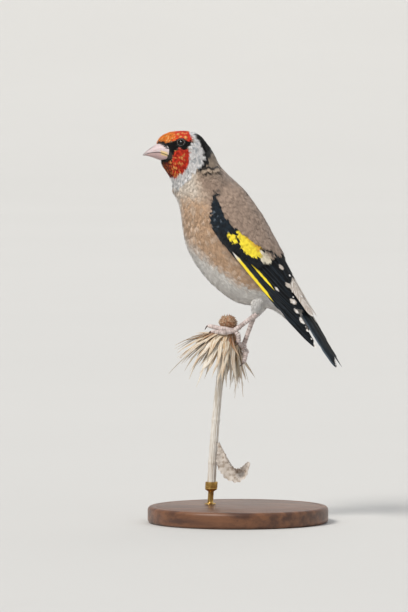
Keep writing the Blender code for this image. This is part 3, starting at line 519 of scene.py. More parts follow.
# The skin: one closed hide that the feathers grow from, a coat's depth under their outer face. It
# stands for the head, neck, torso and thighs, which it joins with no seam.
HIDE_DEPTH_AT = (0.0, 0.1, 0.25, 0.4, 0.55, 0.8, 1.0)
HIDE_DEPTH = (0.35, 0.45, 0.6, 0.9, 1.2, 1.2, 0.6)
HIDE_GAP_SHADE = (0.05, 0.045, 0.04)
VOXEL = 0.55
COARSE = slice(None, None, 2)


def hide_depth(u):
    """How deep the skin lies under the feathers' outer face, by the share along the body."""
    return np.interp(u, HIDE_DEPTH_AT, HIDE_DEPTH)


def faced(faces, turned):
    """The same faces, wound the other way round where turned."""
    return [face[::-1] for face in faces] if turned else faces


def capped(rings, turned=False):
    """Points and faces of a closed skin over rings of points."""
    rows, cols = rings.shape[:2]
    points = np.concatenate((rings.reshape(-1, 3), rings[:1].mean(1), rings[-1:].mean(1)))
    faces = strips(rows, cols, True)
    for middle, first in ((rows * cols, 0), (rows * cols + 1, (rows - 1) * cols)):
        faces += [(first + j, first + (j + 1) % cols, middle) for j in range(cols)]
    return points, faced(faces, turned)


def gathered(parts):
    """One set of points and faces from many."""
    points, faces, shift = [], [], 0
    for some, theirs in parts:
        points.append(np.asarray(some, float))
        faces += [tuple(i + shift for i in face) for face in theirs]
        shift += len(some)
    return np.concatenate(points), faces


def finder(points):
    """A tree that finds the nearest of these points."""
    tree = KDTree(len(points))
    for i, point in enumerate(points):
        tree.insert(point, i)
    tree.balance()
    return tree


hide_finish = Finish("feathered_skin")
hide_colour = hide_finish.stored("plumage", 0)
# The skin's colour is the plumage's, darkened by a third: painted shade for where it shows in the gaps
# between feathers.
hide_finish.surface(hide_finish.mix(0.35, hide_colour, HIDE_GAP_SHADE), 0.9,
                    Normal=hide_finish.bump(hide_finish.noise(0.5, 3.0), 0.12))

rows_u = np.linspace(0, 1, body_form.placed.shape[0])
hide_rings = body_form.placed - body_form.normal * hide_depth(rows_u)[:, None, None]
hide_parts = [capped(hide_rings[COARSE, COARSE])]
hide_parts += [capped(thigh_form(side, -0.6).placed) for side in (-1, 1)]
skin = shown("goldfinch_skin", *gathered(hide_parts), hide_finish)
closing = skin.modifiers.new("closing", "REMESH")
closing.mode = "VOXEL"
closing.voxel_size = VOXEL * MM
closing.use_smooth_shade = True
easing = skin.modifiers.new("easing", "SMOOTH")
easing.iterations = 6
skin.data = bpy.data.meshes.new_from_object(skin.evaluated_get(bpy.context.evaluated_depsgraph_get()))
skin.modifiers.clear()


def own_of(points):
    """Places on the bird's own straight form of points near its surface."""
    near = finder(body_form.placed[COARSE, COARSE].reshape(-1, 3))
    own = own_grid[COARSE, COARSE].reshape(-1, 3)
    return own[[near.find(p)[1] for p in points]]


def keep_on(mesh, name, values, kind="FLOAT"):
    """Keeps a value for each of the mesh's points under a name that its finish reads."""
    field = {"FLOAT": "value", "FLOAT_VECTOR": "vector", "FLOAT_COLOR": "color"}[kind]
    values = np.asarray(values, np.float32)
    if kind == "FLOAT_COLOR":
        values = np.concatenate((values, np.ones((len(values), 1), np.float32)), 1)
    mesh.attributes.new(name, kind, "POINT").data.foreach_set(field, values.ravel())


skin_points = np.array([v.co for v in skin.data.vertices]) / MM
keep_on(skin.data, "plumage", plumage(own_of(skin_points), 3), "FLOAT_COLOR")
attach(skin, "root")
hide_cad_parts("head", "neck", "torso", "thigh_left", "thigh_right")

# The small feathers of the head and body: thin arched vanes whose ends fray into barbs, rooted in
# the skin in even scatter and lying back over one another, as on the living bird.
SCATTER_TRIES = 90000
VANE_SMOOTHNESS = 0.75
PATCH = 0.003
EYE_CLEARANCE = 1.62
PAINTED_GAP_SHADE = paint(48, 40, 34)


def scatter(form, area, pitch, seed):
    """Even scatter of root places (u, v) on a form, at least pitch(u, v) millimetres apart."""
    chance = np.random.default_rng(seed)
    u0, u1, v0, v1 = area
    tries = chance.random((SCATTER_TRIES, 2)) * (u1 - u0, v1 - v0) + (u0, v0)
    u, v = tries[:, 0], tries[:, 1]
    size = form.read(form.pace_along, u, v) * form.read(form.pace_around, u, v)
    kept = chance.random(len(u)) < size / size.max()
    u, v = u[kept], v[kept]
    gap = pitch(u, v)
    worth = gap > 0
    u, v, gap = u[worth], v[worth], gap[worth]
    places = form.read(form.placed, u, v)
    near = finder(places)
    left = np.ones(len(u), bool)
    chosen = []
    for i in range(len(u)):
        if left[i]:
            chosen.append(i)
            for _, j, _ in near.find_range(places[i], float(gap[i])):
                left[j] = False
    chosen = np.array(chosen)
    return u[chosen], v[chosen]


def feather_faces(rows, cols):
    """Faces of one frayed feather, by the order of its points in lay_feathers."""
    barb, low = rows * cols, rows * cols + cols - 1
    last = (rows - 1) * cols
    faces = [(r * cols + c, r * cols + c + 1, (r + 1) * cols + c + 1, (r + 1) * cols + c)
             for r in range(rows - 1) for c in range(cols - 1)]
    for c in range(cols - 1):
        faces += [(last + c, last + c + 1, barb + c), (last + c, barb + c, low + c),
                  (barb + c, last + c + 1, low + c)]
    for r in range(rows - 2):
        faces.append((r * cols, (r + 1) * cols, (r + 1) * cols + cols - 1, r * cols + cols - 1))
    under = [last - cols]
    for c in range(cols - 1):
        under += [last + c, low + c]
    faces.append(tuple(under + [last + cols - 1, last - 1]))
    faces.append(tuple(range(cols - 1, -1, -1)))
    return faces


def joined(points, faces):
    """One mesh in metres from many like sets of points (how many, points each, 3)."""
    count, each = points.shape[:2]
    mesh = bpy.data.meshes.new("plumage")
    sizes = np.array([len(f) for f in faces])
    corners = np.concatenate([np.array(f) for f in faces])
    mesh.vertices.add(count * each)
    mesh.vertices.foreach_set("co", (points.reshape(-1, 3) * MM).astype(np.float32).ravel())
    mesh.loops.add(count * len(corners))
    shift = (np.arange(count) * each)[:, None]
    mesh.loops.foreach_set("vertex_index", (corners[None] + shift).astype(np.int32).ravel())
    mesh.polygons.add(count * len(faces))
    starts = np.concatenate(((0,), np.cumsum(sizes)[:-1]))
    mesh.polygons.foreach_set("loop_start", (starts[None] + np.arange(count)[:, None] * len(corners))
                              .astype(np.int32).ravel())
    mesh.update(calc_edges=True)
    mesh.validate()
    mesh.shade_smooth()
    return mesh


def bake_patches(mesh, u, v, across, along):
    """The OFBake map: each tuft is a small patch at its root's place on the form's own unwrap."""
    layer = mesh.uv_layers.new(name="OFBake")
    at = np.stack((0.01 + 0.98 * np.mod(v, 1.0)[:, None] + across * PATCH / 2,
                   0.01 + 0.98 * np.clip(u, 0, 1)[:, None] + along * PATCH / 2), -1).reshape(-1, 2)
    corner = np.zeros(len(mesh.loops), np.int32)
    mesh.loops.foreach_get("vertex_index", corner)
    layer.data.foreach_set("uv", at[corner].astype(np.float32).ravel())


def lay_feathers(form, u, v, length, half, seed, rows=4, cols=5, depth=1.0, over=0.0, fray=0.3, wild=0.10,
                 loose=0.08):
    """Points of frayed feathers laid along a form from roots (u, v), and what their finish needs.

    Roots are sunk by depth and tips lie over the form by over; fray is the share of the length that is
    barbs, wild how far the feathers lean to either side, and loose how far their tips stand off.
    """
    chance = np.random.default_rng(seed)
    count = len(u)
    length = length * chance.uniform(0.85, 1.15, count)
    half = half * chance.uniform(0.88, 1.12, count)
    lean = chance.normal(0, wild, count)
    step_u, step_v = u.copy(), v.copy()
    body = 1 - fray
    shares = np.linspace(0, body, rows)
    crosswise = np.linspace(-1, 1, cols)
    shape = np.interp(shares / body, (0, 0.3, 0.65, 1), (0.35, 0.85, 1.0, 0.86))
    points = np.zeros((count, rows * cols + 2 * (cols - 1), 3))
    normals = np.zeros_like(points)
    along = np.zeros(points.shape[:2])
    across = np.zeros(points.shape[:2])
    wobble = np.abs(chance.normal(0, loose, count))

    def put(slot, at_u, at_v, x, share, drop):
        """Places one point a distance x across the feather's line, at its share of the length."""
        pace_u = form.read(form.pace_along, at_u, at_v)
        pace_v = form.read(form.pace_around, at_u, at_v)
        pu = at_u - np.sin(lean) * x / pace_u
        pv = at_v + np.cos(lean) * x / pace_v
        ground = form.read(form.placed, pu, pv)
        normal = unit(form.read(form.normal, pu, pv))
        arch = x**2 / np.maximum(half, 0.1) * 0.22
        lift = -depth + depth * share**0.7 + over - arch + wobble * share - drop
        points[:, slot] = ground + normal * lift[:, None]
        normals[:, slot] = normal
        along[:, slot] = share
        across[:, slot] = x / half

    centre = [(step_u, step_v)]
    for r in range(1, rows + 1):
        reach = (shares[r] - shares[r - 1] if r < rows else fray) * length
        step_u = step_u + np.cos(lean) * reach / form.read(form.pace_along, step_u, step_v)
        step_v = step_v + np.sin(lean) * reach / form.read(form.pace_around, step_u, step_v)
        centre.append((step_u, step_v))
    for r in range(rows):
        for c, x in enumerate(crosswise):
            put(r * cols + c, *centre[r], x * half * shape[r], shares[r], 0.0)
    end_u, end_v = centre[rows - 1]
    for c in range(cols - 1):
        x = (crosswise[c] + crosswise[c + 1]) / 2
        reach = (1 - 0.45 * x * x) * chance.uniform(0.55, 1.1, count)
        tip_u = end_u + (centre[rows][0] - end_u) * reach
        tip_v = end_v + (centre[rows][1] - end_v) * reach
        put(rows * cols + c, tip_u, tip_v, (x * 0.86 + chance.normal(0, 0.06, count)) * half,
            body + fray * reach, 0.02)
        put(rows * cols + cols - 1 + c, end_u, end_v, x * half * shape[-1], body, 0.07 * half)
    mark_u, mark_v = centre[max(rows - 2, 1)]
    return {"points": points, "normals": normals, "along": along, "across": across, "u": u, "v": v,
            "mark": form.read(form.own, mark_u, mark_v),
            "faces": [face[::-form.outward] for face in feather_faces(rows, cols)]}


def coat_piece(name, laid, colours, finish, seed):
    """One object of laid feathers, each with its colour, its own chance tone and its barbs' run."""
    mesh = joined(laid["points"], laid["faces"])
    each = laid["points"].shape[1]
    chance = np.random.default_rng(seed)
    tone = np.repeat(chance.random(len(laid["u"])), each)
    keep_on(mesh, "plumage", np.repeat(colours, each, 0), "FLOAT_COLOR")
    run = np.stack((laid["across"].ravel(), laid["along"].ravel(), tone), 1)
    keep_on(mesh, "vane", run, "FLOAT_VECTOR")
    bake_patches(mesh, laid["u"], laid["v"], laid["across"], laid["along"] * 2 - 1)
    mesh.materials.append(finish.material)
    # Each feather's shading leans towards the form's own, so that the coat reads as one soft surface.
    own = np.zeros(len(mesh.vertices) * 3, np.float32)
    mesh.vertices.foreach_get("normal", own)
    own = own.reshape(-1, 3)
    flow = laid["normals"].reshape(-1, 3)
    own = np.where((own * flow).sum(1, keepdims=True) < 0, flow, own)
    shading = unit(flow * VANE_SMOOTHNESS + own * (1 - VANE_SMOOTHNESS))
    mesh.normals_split_custom_set_from_vertices(shading.tolist())
    return in_scene(name, mesh)


def plume_finish(name, streak, sheen=0.25):
    """Soft plumage: the mesh's own colour, fine barbs along each feather, and painted shade that darkens each
    feather's root.
    """
    made = Finish(name)
    colour = made.stored("plumage", 0)
    across, along, tone = made.three_stored("vane")
    barbs = made.strands(across * 5.0 + tone * 40.0, along * 1.6, tone * 17.0, 3.0)
    shade = barbs.ramp(0.25, 0.75, 1 - streak, 1 + streak * 0.6)
    shade = shade * tone.ramp(0.0, 1.0, 1 - streak * 0.5, 1 + streak * 0.4)
    # Painted shade: each feather darkens towards its root, where the feathers over it would shade it.
    root = along.ramp(0.0, 0.6, 0.6, 1.0)
    tinted = made.node("ShaderNodeVectorMath", {"operation": "SCALE"}, {0: colour, 3: shade * root})
    return made.surface(tinted, 0.85, Normal=made.bump(barbs, 0.05), Specular_IOR_Level=0.2,
                        Sheen_Weight=sheen, Sheen_Roughness=0.6)


eye_places = [head_place(-24.6, 160.0, side * 8.0) for side in (-1, 1)]


def clear_of_face(laid):
    """The same feathers without those that would reach over an eye or grow on the bill's sides."""
    own = body_form.read(body_form.own, laid["u"], laid["v"])
    keep = within(own[:, (0, 2)], BILL_AREA) < 0
    for eye in eye_places:
        keep &= np.linalg.norm(laid["points"] - eye, axis=-1).min(1) > EYE_CLEARANCE
    return {key: value if key == "faces" else value[keep] for key, value in laid.items()}


face_plumes = plume_finish("face_plumes", 0.24, 0.04)
body_plumes = plume_finish("body_plumes", 0.17)

u, v = scatter(body_form, (0.004, 0.30, 0, 1),
               lambda u, v: np.interp(u, (0, 0.15, 0.3), (0.42, 0.5, 0.62)), 11)
order = np.interp(u, (0, 0.12, 0.3), (1.3, 2.0, 3.2))
face = lay_feathers(body_form, u, v, order, order * 0.24, 12, rows=3, cols=4, depth=hide_depth(u), over=0.05,
                    fray=0.42, wild=0.16, loose=0.12)
face = clear_of_face(face)
face_coat = coat_piece("face_and_crown_plumes", face, plumage(face["mark"], 13), face_plumes, 14)
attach(face_coat, "root")


def ruff_row(along, height):
    """How high a point is over the nape's fold, which waves along the neck."""
    return height - 148.6 + 0.35 * np.sin(along * 1.7)


def nape_ruff_pitch(u, v):
    """Three short rows of roots on the left of the nape, broken here and there."""
    along, side, height = body_form.read(body_form.own, u, v).T
    low = ruff_row(along, height)
    rows = (np.abs(low[:, None] - (0.9, -0.1, -1.1)) < 0.22).any(1) & (np.sin(along * 2.9 + low) < 0.72)
    ends = np.where(low > 0.5, -7.6, np.where(low < -0.6, -9.6, -6.4))
    return np.where(rows & (along > -14.2) & (along < ends) & (side < -2.0), 0.26, 0)


# Where the turned neck folds, short ruffled feathers make a pale lip between two rows coloured dark with
# painted shade for the gaps.
u, v = scatter(body_form, (0.2, 0.5, 0, 1), nape_ruff_pitch, 26)
along, _, height = body_form.read(body_form.own, u, v).T
lip = np.round(ruff_row(along, height) + 0.1) == 0
ruff = lay_feathers(body_form, u, v, np.where(lip, 1.9, 1.2), 0.42, 27, depth=0.1,
                    over=np.where(lip, 0.55, 0.3), fray=0.4, wild=0.2)
# The rows either side of the lip take the painted gap shade.
tones = np.where(lip[:, None], NAPE_BROWN * 1.2, PAINTED_GAP_SHADE)
tones = tones * (0.8 + 0.4 * np.random.default_rng(29).random((len(tones), 1)))
ruff_coat = coat_piece("nape_ruff_plumes", ruff, tones, body_plumes, 28)
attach(ruff_coat, "root")

u, v = scatter(body_form, (0.28, 0.5, 0, 1), lambda u, v: np.interp(u, (0.28, 0.5), (0.62, 1.0)), 21)
order = np.interp(u, (0.28, 0.5), (3.2, 5.6))
# A tuft of buff breast feathers stands out under the throat, where the neck folds.
fold = body_form.read(body_form.own, u, v)
tuft = np.exp(-(((fold[:, 2] - 141.0) / 1.9) ** 2) - ((v - 0.48) / 0.10) ** 2)
neck = lay_feathers(body_form, u, v, order, order * 0.22, 22, depth=hide_depth(u), over=1.25 * tuft, fray=0.4,
                    wild=0.14)
neck_coat = coat_piece("neck_plumes", neck, plumage(neck["mark"], 23), body_plumes, 24)
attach(neck_coat, "root")

for name, low, high, gap, long, seed in (("breast_plumes", 0.48, 0.72, 1.05, 6.2, 31),
                                         ("belly_plumes", 0.70, 0.99, 1.0, 6.6, 41)):
    u, v = scatter(body_form, (low, high, 0, 1), lambda u, v: np.full(len(u), gap), seed)
    size = long * np.interp(u, (0.8, 1.0), (1.0, 0.75))
    laid = lay_feathers(body_form, u, v, size, size * 0.2, seed + 1, depth=hide_depth(u), fray=0.42, wild=0.1)
    coat = coat_piece(name, laid, plumage(laid["mark"], seed + 2), body_plumes, seed + 3)
    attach(coat, "root")

for side, word in ((-1, "left"), (1, "right")):
    form = thigh_forms[side]
    u, v = scatter(form, (0.02, 0.9, 0, 1), lambda u, v: np.full(len(u), 0.75), 51 + side)
    laid = lay_feathers(form, u, v, np.interp(u, (0, 1), (4.4, 2.4)), 0.6, 53 + side, depth=0.6, over=0.05,
                        fray=0.45, wild=0.25, loose=0.2)
    tones = plumage(own_of(laid["points"][:, 6]), 54)
    tones = blended(tones, np.interp(u, (0.3, 0.6), (0, 1)), VENT_WHITE * 0.9)
    coat = coat_piece("thigh_plumes_" + word, laid, tones, body_plumes, 55 + side)
    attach(coat, "root")

# The folded wings: stiff flight feathers laid one over another along a slanting oval that hugs the
# body, on a fleshy pad. Each vane has its quill along the middle and barbs that part here and there.
WING_START = np.array((-6.8, 0.0, 129.0))
WING_SLOPE = math.radians(50.2)
WING_ALONG = np.array((math.cos(WING_SLOPE), 0.0, -math.sin(WING_SLOPE)))
WING_BACK = np.array((math.sin(WING_SLOPE), 0.0, math.cos(WING_SLOPE)))
WING_AT = (-10, 0, 10, 20, 30, 40, 50, 60, 72, 84)
WING_SIDE_R = (11.6, 14.3, 15.0, 14.9, 14.0, 12.7, 11.4, 10.0, 8.7, 7.5)
WING_BACK_R = (12.4, 12.8, 12.2, 10.4, 8.6, 6.9, 5.6, 4.7, 4.0, 3.4)
WING_RIDGE = 1.35
WING_BLACK = paint(9, 10, 12)
PAINTED_BLUE_SHEEN = paint(34, 48, 60)
WING_YELLOW = paint(250, 226, 62)
TIP_WHITE = paint(238, 234, 230)
TERTIAL_PALE = paint(206, 196, 186)
EDGE_BROWN = paint(164, 146, 130)
EDGE_PALE = paint(226, 220, 214)
PAINTED_RIM_HIGHLIGHT = paint(90, 100, 110)
TAIL_EDGE = paint(118, 132, 146)
# Marks on the closed wing by their places t down it and q over its axis: the yellow bars as the
# middle's q, half width, first t and last t, and the pale spots as t, q, size and colour.
WING_BARS = ((-1.35, 0.68, 16.5, 45.5), (1.85, 0.40, 10.5, 42.0))
WING_SPOTS = ((41.2, 2.7, 0.34, TIP_WHITE), (34.0, 8.0, 0.48, TERTIAL_PALE), (42.0, 6.0, 0.54, TERTIAL_PALE),
              (49.1, 3.9, 0.56, TERTIAL_PALE), (53.2, 2.8, 0.45, TIP_WHITE), (57.9, 2.3, 0.7, TIP_WHITE),
              (61.6, 2.3, 0.55, TERTIAL_PALE), (69.6, 0.7, 0.7, TIP_WHITE))
VANE_ROWS = 36
VANE_COLS = np.array((-1.0, -0.72, -0.4, -0.1, 0.0, 0.1, 0.4, 0.72, 1.0))
VANE_THICK = 0.16
VANE_DROOP = 0.05
QUILL_RISE = 0.11
POINTED = ((0, 0.12, 0.74, 0.9, 0.97, 1), (0.55, 0.92, 1.0, 0.74, 0.42, 0.1))
BLUNT = ((0, 0.12, 0.8, 0.93, 0.985, 1), (0.55, 0.92, 1.0, 0.84, 0.5, 0.14))


def wing_radii(t):
    """The oval's half width and half depth at t millimetres down the wing."""
    return smooth(np.interp(t, WING_AT, range(len(WING_AT))), list(zip(WING_SIDE_R, WING_BACK_R)))


def wing_turn(t, q):
    """Angle round the oval from the back line, at a height q over its axis, t down the wing."""
    share = np.clip(q / wing_radii(t)[..., 1], -0.9, 0.97)
    return np.arccos(bowed(share, 1 / WING_RIDGE))


def wing_rise(t, turn):
    """The height over the oval's axis at an angle round it."""
    return bowed(np.cos(turn), WING_RIDGE) * wing_radii(t)[..., 1]


def wing_guide(t, turn, side):
    out = side * np.sin(turn) ** WING_RIDGE * wing_radii(t)[..., 0]
    return (WING_START + WING_ALONG * t[..., None] + WING_BACK * wing_rise(t, turn)[..., None]
            + SIDEWAYS * out[..., None])


def wing_place(t, turn, lift, side):
    """Points of the oval lifted along its normal, and those normals."""
    turn = np.clip(turn, 0.06, math.pi - 0.06)
    across = wing_guide(t, turn + 0.05, side) - wing_guide(t, turn - 0.05, side)
    normal = unit(np.cross(WING_ALONG, across)) * side
    return wing_guide(t, turn, side) + normal * np.asarray(lift)[..., None], normal


def slab_faces(rows, cols, turned=False):
    """Faces of a closed thin sheet whose upper points come first and its lower ones after."""
    under = rows * cols
    faces = []
    for face in strips(rows, cols):
        faces += [face[::-1], tuple(i + under for i in face)]
    rim = list(range(cols)) + [i * cols + cols - 1 for i in range(1, rows)]
    rim += [(rows - 1) * cols + j for j in range(cols - 2, -1, -1)]
    rim += [i * cols for i in range(rows - 2, 0, -1)]
    faces += [(a, b, b + under, a + under) for a, b in zip(rim, rim[1:] + rim[:1])]
    return faced(faces, turned)


def sheet(top, down):
    """Points of a thin sheet, its upper face first, from that face and the way down through it."""
    return np.concatenate((top.reshape(-1, 3), (top - down).reshape(-1, 3)))


def cut_vane(path, normals, half, chance, shape):
    """Points of one vane along a path, upper ones first, with a raised quill and parted barbs."""
    rows = len(path)
    along = unit(np.gradient(path, axis=0))
    across = unit(np.cross(normals, along))
    shares = np.linspace(0, 1, rows)
    widths = half * np.interp(shares, *shape)
    edge = np.ones((rows, len(VANE_COLS)))
    for column in (0, len(VANE_COLS) - 1):
        for _ in range(chance.integers(1, 4)):
            at = chance.integers(rows // 3, rows - 4)
            depth = chance.uniform(0.06, 0.22)
            edge[at, column] -= depth
            edge[at + 1, column] -= depth * 0.4
    spread = VANE_COLS[None] * edge * widths[:, None]
    arch = VANE_COLS[None] ** 2 * (widths[:, None] ** 2 / 26 + VANE_DROOP)
    ridge = QUILL_RISE * (1 - 0.8 * shares)[:, None] * (np.abs(VANE_COLS) < 0.05)[None]
    thick = VANE_THICK * np.interp(np.abs(VANE_COLS), (0, 0.1, 1), (1.5, 1.0, 0.35))[None, :, None]
    top = path[:, None] + across[:, None] * spread[..., None] + normals[:, None] * (ridge - arch)[..., None]
    return sheet(top, normals[:, None] * thick)


def vane_coat(name, vanes, finish, places):
    """One object of closed vanes. Each vane is its points, its length, and its white tip and pale edge."""
    rows, cols = VANE_ROWS, len(VANE_COLS)
    made = shown(name, *gathered([(vane[0], slab_faces(rows, cols)) for vane in vanes]), finish, 50)
    mesh = made.data
    share = np.repeat(np.linspace(0, 1, rows), cols)
    share = np.tile(np.concatenate((share, share)), (len(vanes), 1))
    cross = np.tile(np.tile(VANE_COLS, rows * 2), (len(vanes), 1))
    tone = np.repeat(np.random.default_rng(len(vanes)).random(len(vanes))[:, None], share.shape[1], 1)
    keep_on(mesh, "vane", np.stack((cross.ravel(), share.ravel(), tone.ravel()), 1), "FLOAT_VECTOR")
    keep_on(mesh, "from_tip", ((1 - share) * np.array([[vane[1]] for vane in vanes])).ravel())
    for i, mark in enumerate(("tip_white", "pale_edge")):
        keep_on(mesh, mark, np.repeat([vane[2][i] for vane in vanes], share.shape[1]))
    spots = np.array(places)
    bake_patches(mesh, spots[:, 0], spots[:, 1], cross, share * 2 - 1)
    return made


def flight_finish(name, wing):
    """Glossy black vanes with fine slanting barbs, streaks of painted blue sheen and a painted highlight
    along each rim; on the wing also its bars, spots and pale edges.
    """
    made = Finish(name)
    across, _, tone = made.three_stored("vane")
    from_tip = made.stored("from_tip")
    barbs = made.strands((from_tip + abs(across) * 2.2) * 3.4, across * 0.8, tone * 23.0, 4.0)
    sheen_streaks = made.strands(from_tip * 0.16, across * 2.4, tone * 31.0, 2.0)
    waver = made.noise(1.2, 3.0).ramp(0.3, 0.7, -0.2, 0.2)
    # Painted blue sheen: streaks of the black vanes are coloured blue where a gloss would shine.
    colour = made.mix(sheen_streaks.ramp(0.45, 0.8) * 0.55, WING_BLACK, PAINTED_BLUE_SHEEN)
    # Painted highlight: each vane's rim is coloured paler grey, as if catching the light.
    colour = made.mix(abs(across).ramp(0.8, 1.0) * 0.25, colour, PAINTED_RIM_HIGHLIGHT)
    rounded = from_tip + abs(across) * 0.8 + waver
    spot = (made.stored("tip_white") - rounded).ramp(-0.15, 0.25)
    if wing:
        place = made.place()
        t, q = (made.node("ShaderNodeVectorMath", {"operation": "DOT_PRODUCT"},
                          {0: place, 1: tuple(axis / MM)}, 1) - float(WING_START @ axis)
                for axis in (WING_ALONG, WING_BACK))
        for middle, wide, start, end in WING_BARS:
            taper = t.ramp(start, start + 5.0) * t.ramp(end, end - 7.0)
            bar = (taper * wide - abs(q + waver * 0.3 - middle)).ramp(-0.1, 0.1) * taper.ramp(0.0, 0.1)
            bar_colour = made.mix(t.ramp(19.0, 24.0) if middle < 0 else 1.0, TIP_WHITE, WING_YELLOW)
            colour = made.mix(bar, colour, bar_colour)
        pale = made.stored("pale_edge")
        line = (10.3 - (t - 26.2) * 0.183).over(6.3 - (t - 49.1) * 0.1)
        inside = (q + waver * 0.6 - line + t.ramp(36.0, 51.0, -0.75, 3.3)).ramp(-0.2, 0.3)
        edge_colour = made.mix(barbs.ramp(0.35, 0.65), EDGE_BROWN, EDGE_PALE)
        colour = made.mix(inside * pale * t.ramp(23.0, 27.0), colour, edge_colour)
        for at_t, at_q, size, tone in WING_SPOTS:
            away = (t - at_t) * (t - at_t) * 0.13 + (q - at_q) * (q - at_q) + waver * 0.5
            colour = made.mix((size * size - away).ramp(-0.12, 0.2), colour, tone)
    else:
        edge = abs(across).ramp(0.75, 1.0) * made.stored("pale_edge")
        colour = made.mix(edge, colour, TAIL_EDGE)
    colour = made.mix(spot, colour, made.mix(rounded.ramp(0.7, 1.7), TIP_WHITE, TERTIAL_PALE))
    return made.surface(colour, 0.55, Normal=made.bump(barbs, 0.05), Specular_IOR_Level=0.16)


# The flight feathers' tips as (t, q, length of the white tip), and the tertials' roots and tips.
PRIMARY_TIPS = ((70.4, 0.5, 1.5), (69.0, 0.9, 0.7), (66.6, 1.2, 0.8), (63.1, 1.9, 1.7), (60.8, 2.1, 0.6),
                (58.9, 2.2, 1.8), (56.4, 2.6, 0.6), (54.0, 2.9, 1.9), (51.6, 3.3, 0.7))
SECONDARY_TIPS = ((56.8, 5.0, 0.0), (53.4, 4.0, 0.0), (49.9, 3.7, 2.0), (47.6, 4.4, 0.8), (45.4, 5.1, 0.8),
                  (43.0, 6.0, 1.9), (40.0, 6.7, 0.9), (36.8, 7.4, 0.9))
TERTIALS = (((19.0, 7.0), (58.2, 4.5), 2.5), ((21.0, 8.6), (49.0, 6.2), 2.4), ((23.0, 9.4), (39.0, 8.0), 2.2))


def wing_vanes():
    """Root, tip, half width, lift, (white tip, pale edge) and outline of each vane, lowest first."""
    found = []
    for k, (t, q, white) in enumerate(PRIMARY_TIPS):
        share = k / (len(PRIMARY_TIPS) - 1)
        found.append(((8 + 8 * share, -1.2 + 3.4 * share), (t, q), 2.1 + 0.3 * share, -0.9 + 0.11 * k,
                      (white, 0.0), POINTED))
    for k, (t, q, white) in enumerate(SECONDARY_TIPS):
        share = k / (len(SECONDARY_TIPS) - 1)
        found.append(((13 + 5 * share, 1.6 + 5.8 * share), (t, q), 2.5, 0.10 + 0.11 * k, (white, 0.0), BLUNT))
    for k, (root, tip, half) in enumerate(TERTIALS):
        found.append((root, tip, half, 0.85 + 0.15 * k, (0.9, 1.0), BLUNT))
    for k in range(6):
        share = k / 5
        found.append(((3.0 + 5 * share, -1.9 + 3.2 * share), (21.8 - 3.6 * share, -1.75 + 3.4 * share), 1.3,
                      0.35 + 0.09 * k, (0.0, 0.0), POINTED))
    return found


# Outlines of the small feathers' markings and borders as (t, q) on the closed wing.
YELLOW_AREAS = (((9.6, 1.9), (11.5, 1.2), (13.6, 0.9), (15.6, 2.3), (13.4, 3.2), (10.4, 2.4)),
                ((10.9, 6.8), (10.5, 5.4), (12.8, 3.9), (15.8, 2.7), (18.1, 2.6), (21.5, 2.6), (23.7, 3.3),
                 (25.8, 4.5), (24.0, 6.3), (21.2, 6.8), (16.2, 6.8)))
BUFF_AREA = ((23.4, 5.8), (24.2, 7.0), (26.5, 7.8), (29.0, 7.0), (30.2, 5.6), (28.6, 4.6), (26.0, 4.6))
SCAPULAR_LINE = ((-12, -8.7, -5.3, -1.5, 3.1, 7.2, 11.1, 17.1, 22.4, 25.9, 29.5, 33),
                 (6.5, 6.5, 6.0, 5.3, 4.9, 4.6, 5.3, 6.0, 7.1, 8.6, 9.0, 9.4))
SHOULDER_LINE = ((-9.3, -6.4, -4.0, -1.9, -0.1, 2.7, 4.5), (6.6, 5.6, 3.9, 1.9, 0.2, -1.9, -4.0))
COVERT_LOW = ((-12, -4, 2, 6, 9, 12, 15, 20, 27), (-4.2, -4.2, -3.8, -3.2, -2.9, -1.0, 0.4, 1.5, 2.6))
BUFF_TIP = paint(232, 222, 198)
SCALE_GREY = paint(82, 92, 102)
COVERT_BLACK = paint(14, 20, 26)
YELLOW_SHADE = paint(214, 138, 60)
MANTLE_SHADE = paint(136, 116, 101)


def wing_form(side):
    """The oval as a form for small feathers, whose own points are (t, q, side)."""
    t, turn = np.meshgrid(np.linspace(-12, 84, 193), np.linspace(0.06, math.pi - 0.06, 97), indexing="ij")
    placed, _ = wing_place(t, turn, np.zeros(t.shape), side)
    return Form(placed, np.stack((t, wing_rise(t, turn), np.full(t.shape, float(side))), -1), False)


def covert_colours(own, chest, seed):
    """Colours of the small wing feathers by place: black, the yellow and buff patches, and the breast's."""
    chance = np.random.default_rng(seed)
    count = len(own)
    place = own[:, :2] + chance.normal(0, 0.22, (count, 2))
    pick = chance.random((count, 2))
    t, q = place[:, 0], place[:, 1]
    # Some black coverts near the shoulder get a painted blue sheen.
    colour = blended(COVERT_BLACK, pick[:, 0] * eased(t, 12, 8), PAINTED_BLUE_SHEEN * 0.7)
    edged = (pick[:, 1] < 0.16) & (t < 9) & (q < 2.6)
    colour = np.where(edged[:, None], SCALE_GREY, colour)
    buff = eased(within(place, BUFF_AREA), -0.15, 0.3)
    colour = blended(colour, buff, blended(BUFF_TIP, eased(q, 6.0, 7.4), MANTLE_BROWN))
    yellow = blended(WING_YELLOW, eased(q + t * 0.02, 5.4, 6.6) * 0.55, YELLOW_SHADE)
    for area in YELLOW_AREAS:
        colour = blended(colour, eased(within(place, area), -0.15, 0.25) * (1 - buff), yellow)
    start = np.interp(t, *SHOULDER_LINE) + chance.normal(0, 0.45, count)
    return blended(colour, eased(q, start + 0.2, start - 0.2), chest)


def scapular_colours(own, seed):
    """The back's plain brown, with a darker feather here and there."""
    pick = np.random.default_rng(seed).random(len(own))
    return blended(MANTLE_BROWN * (0.93 + 0.14 * pick)[:, None], pick > 0.92, MANTLE_SHADE)


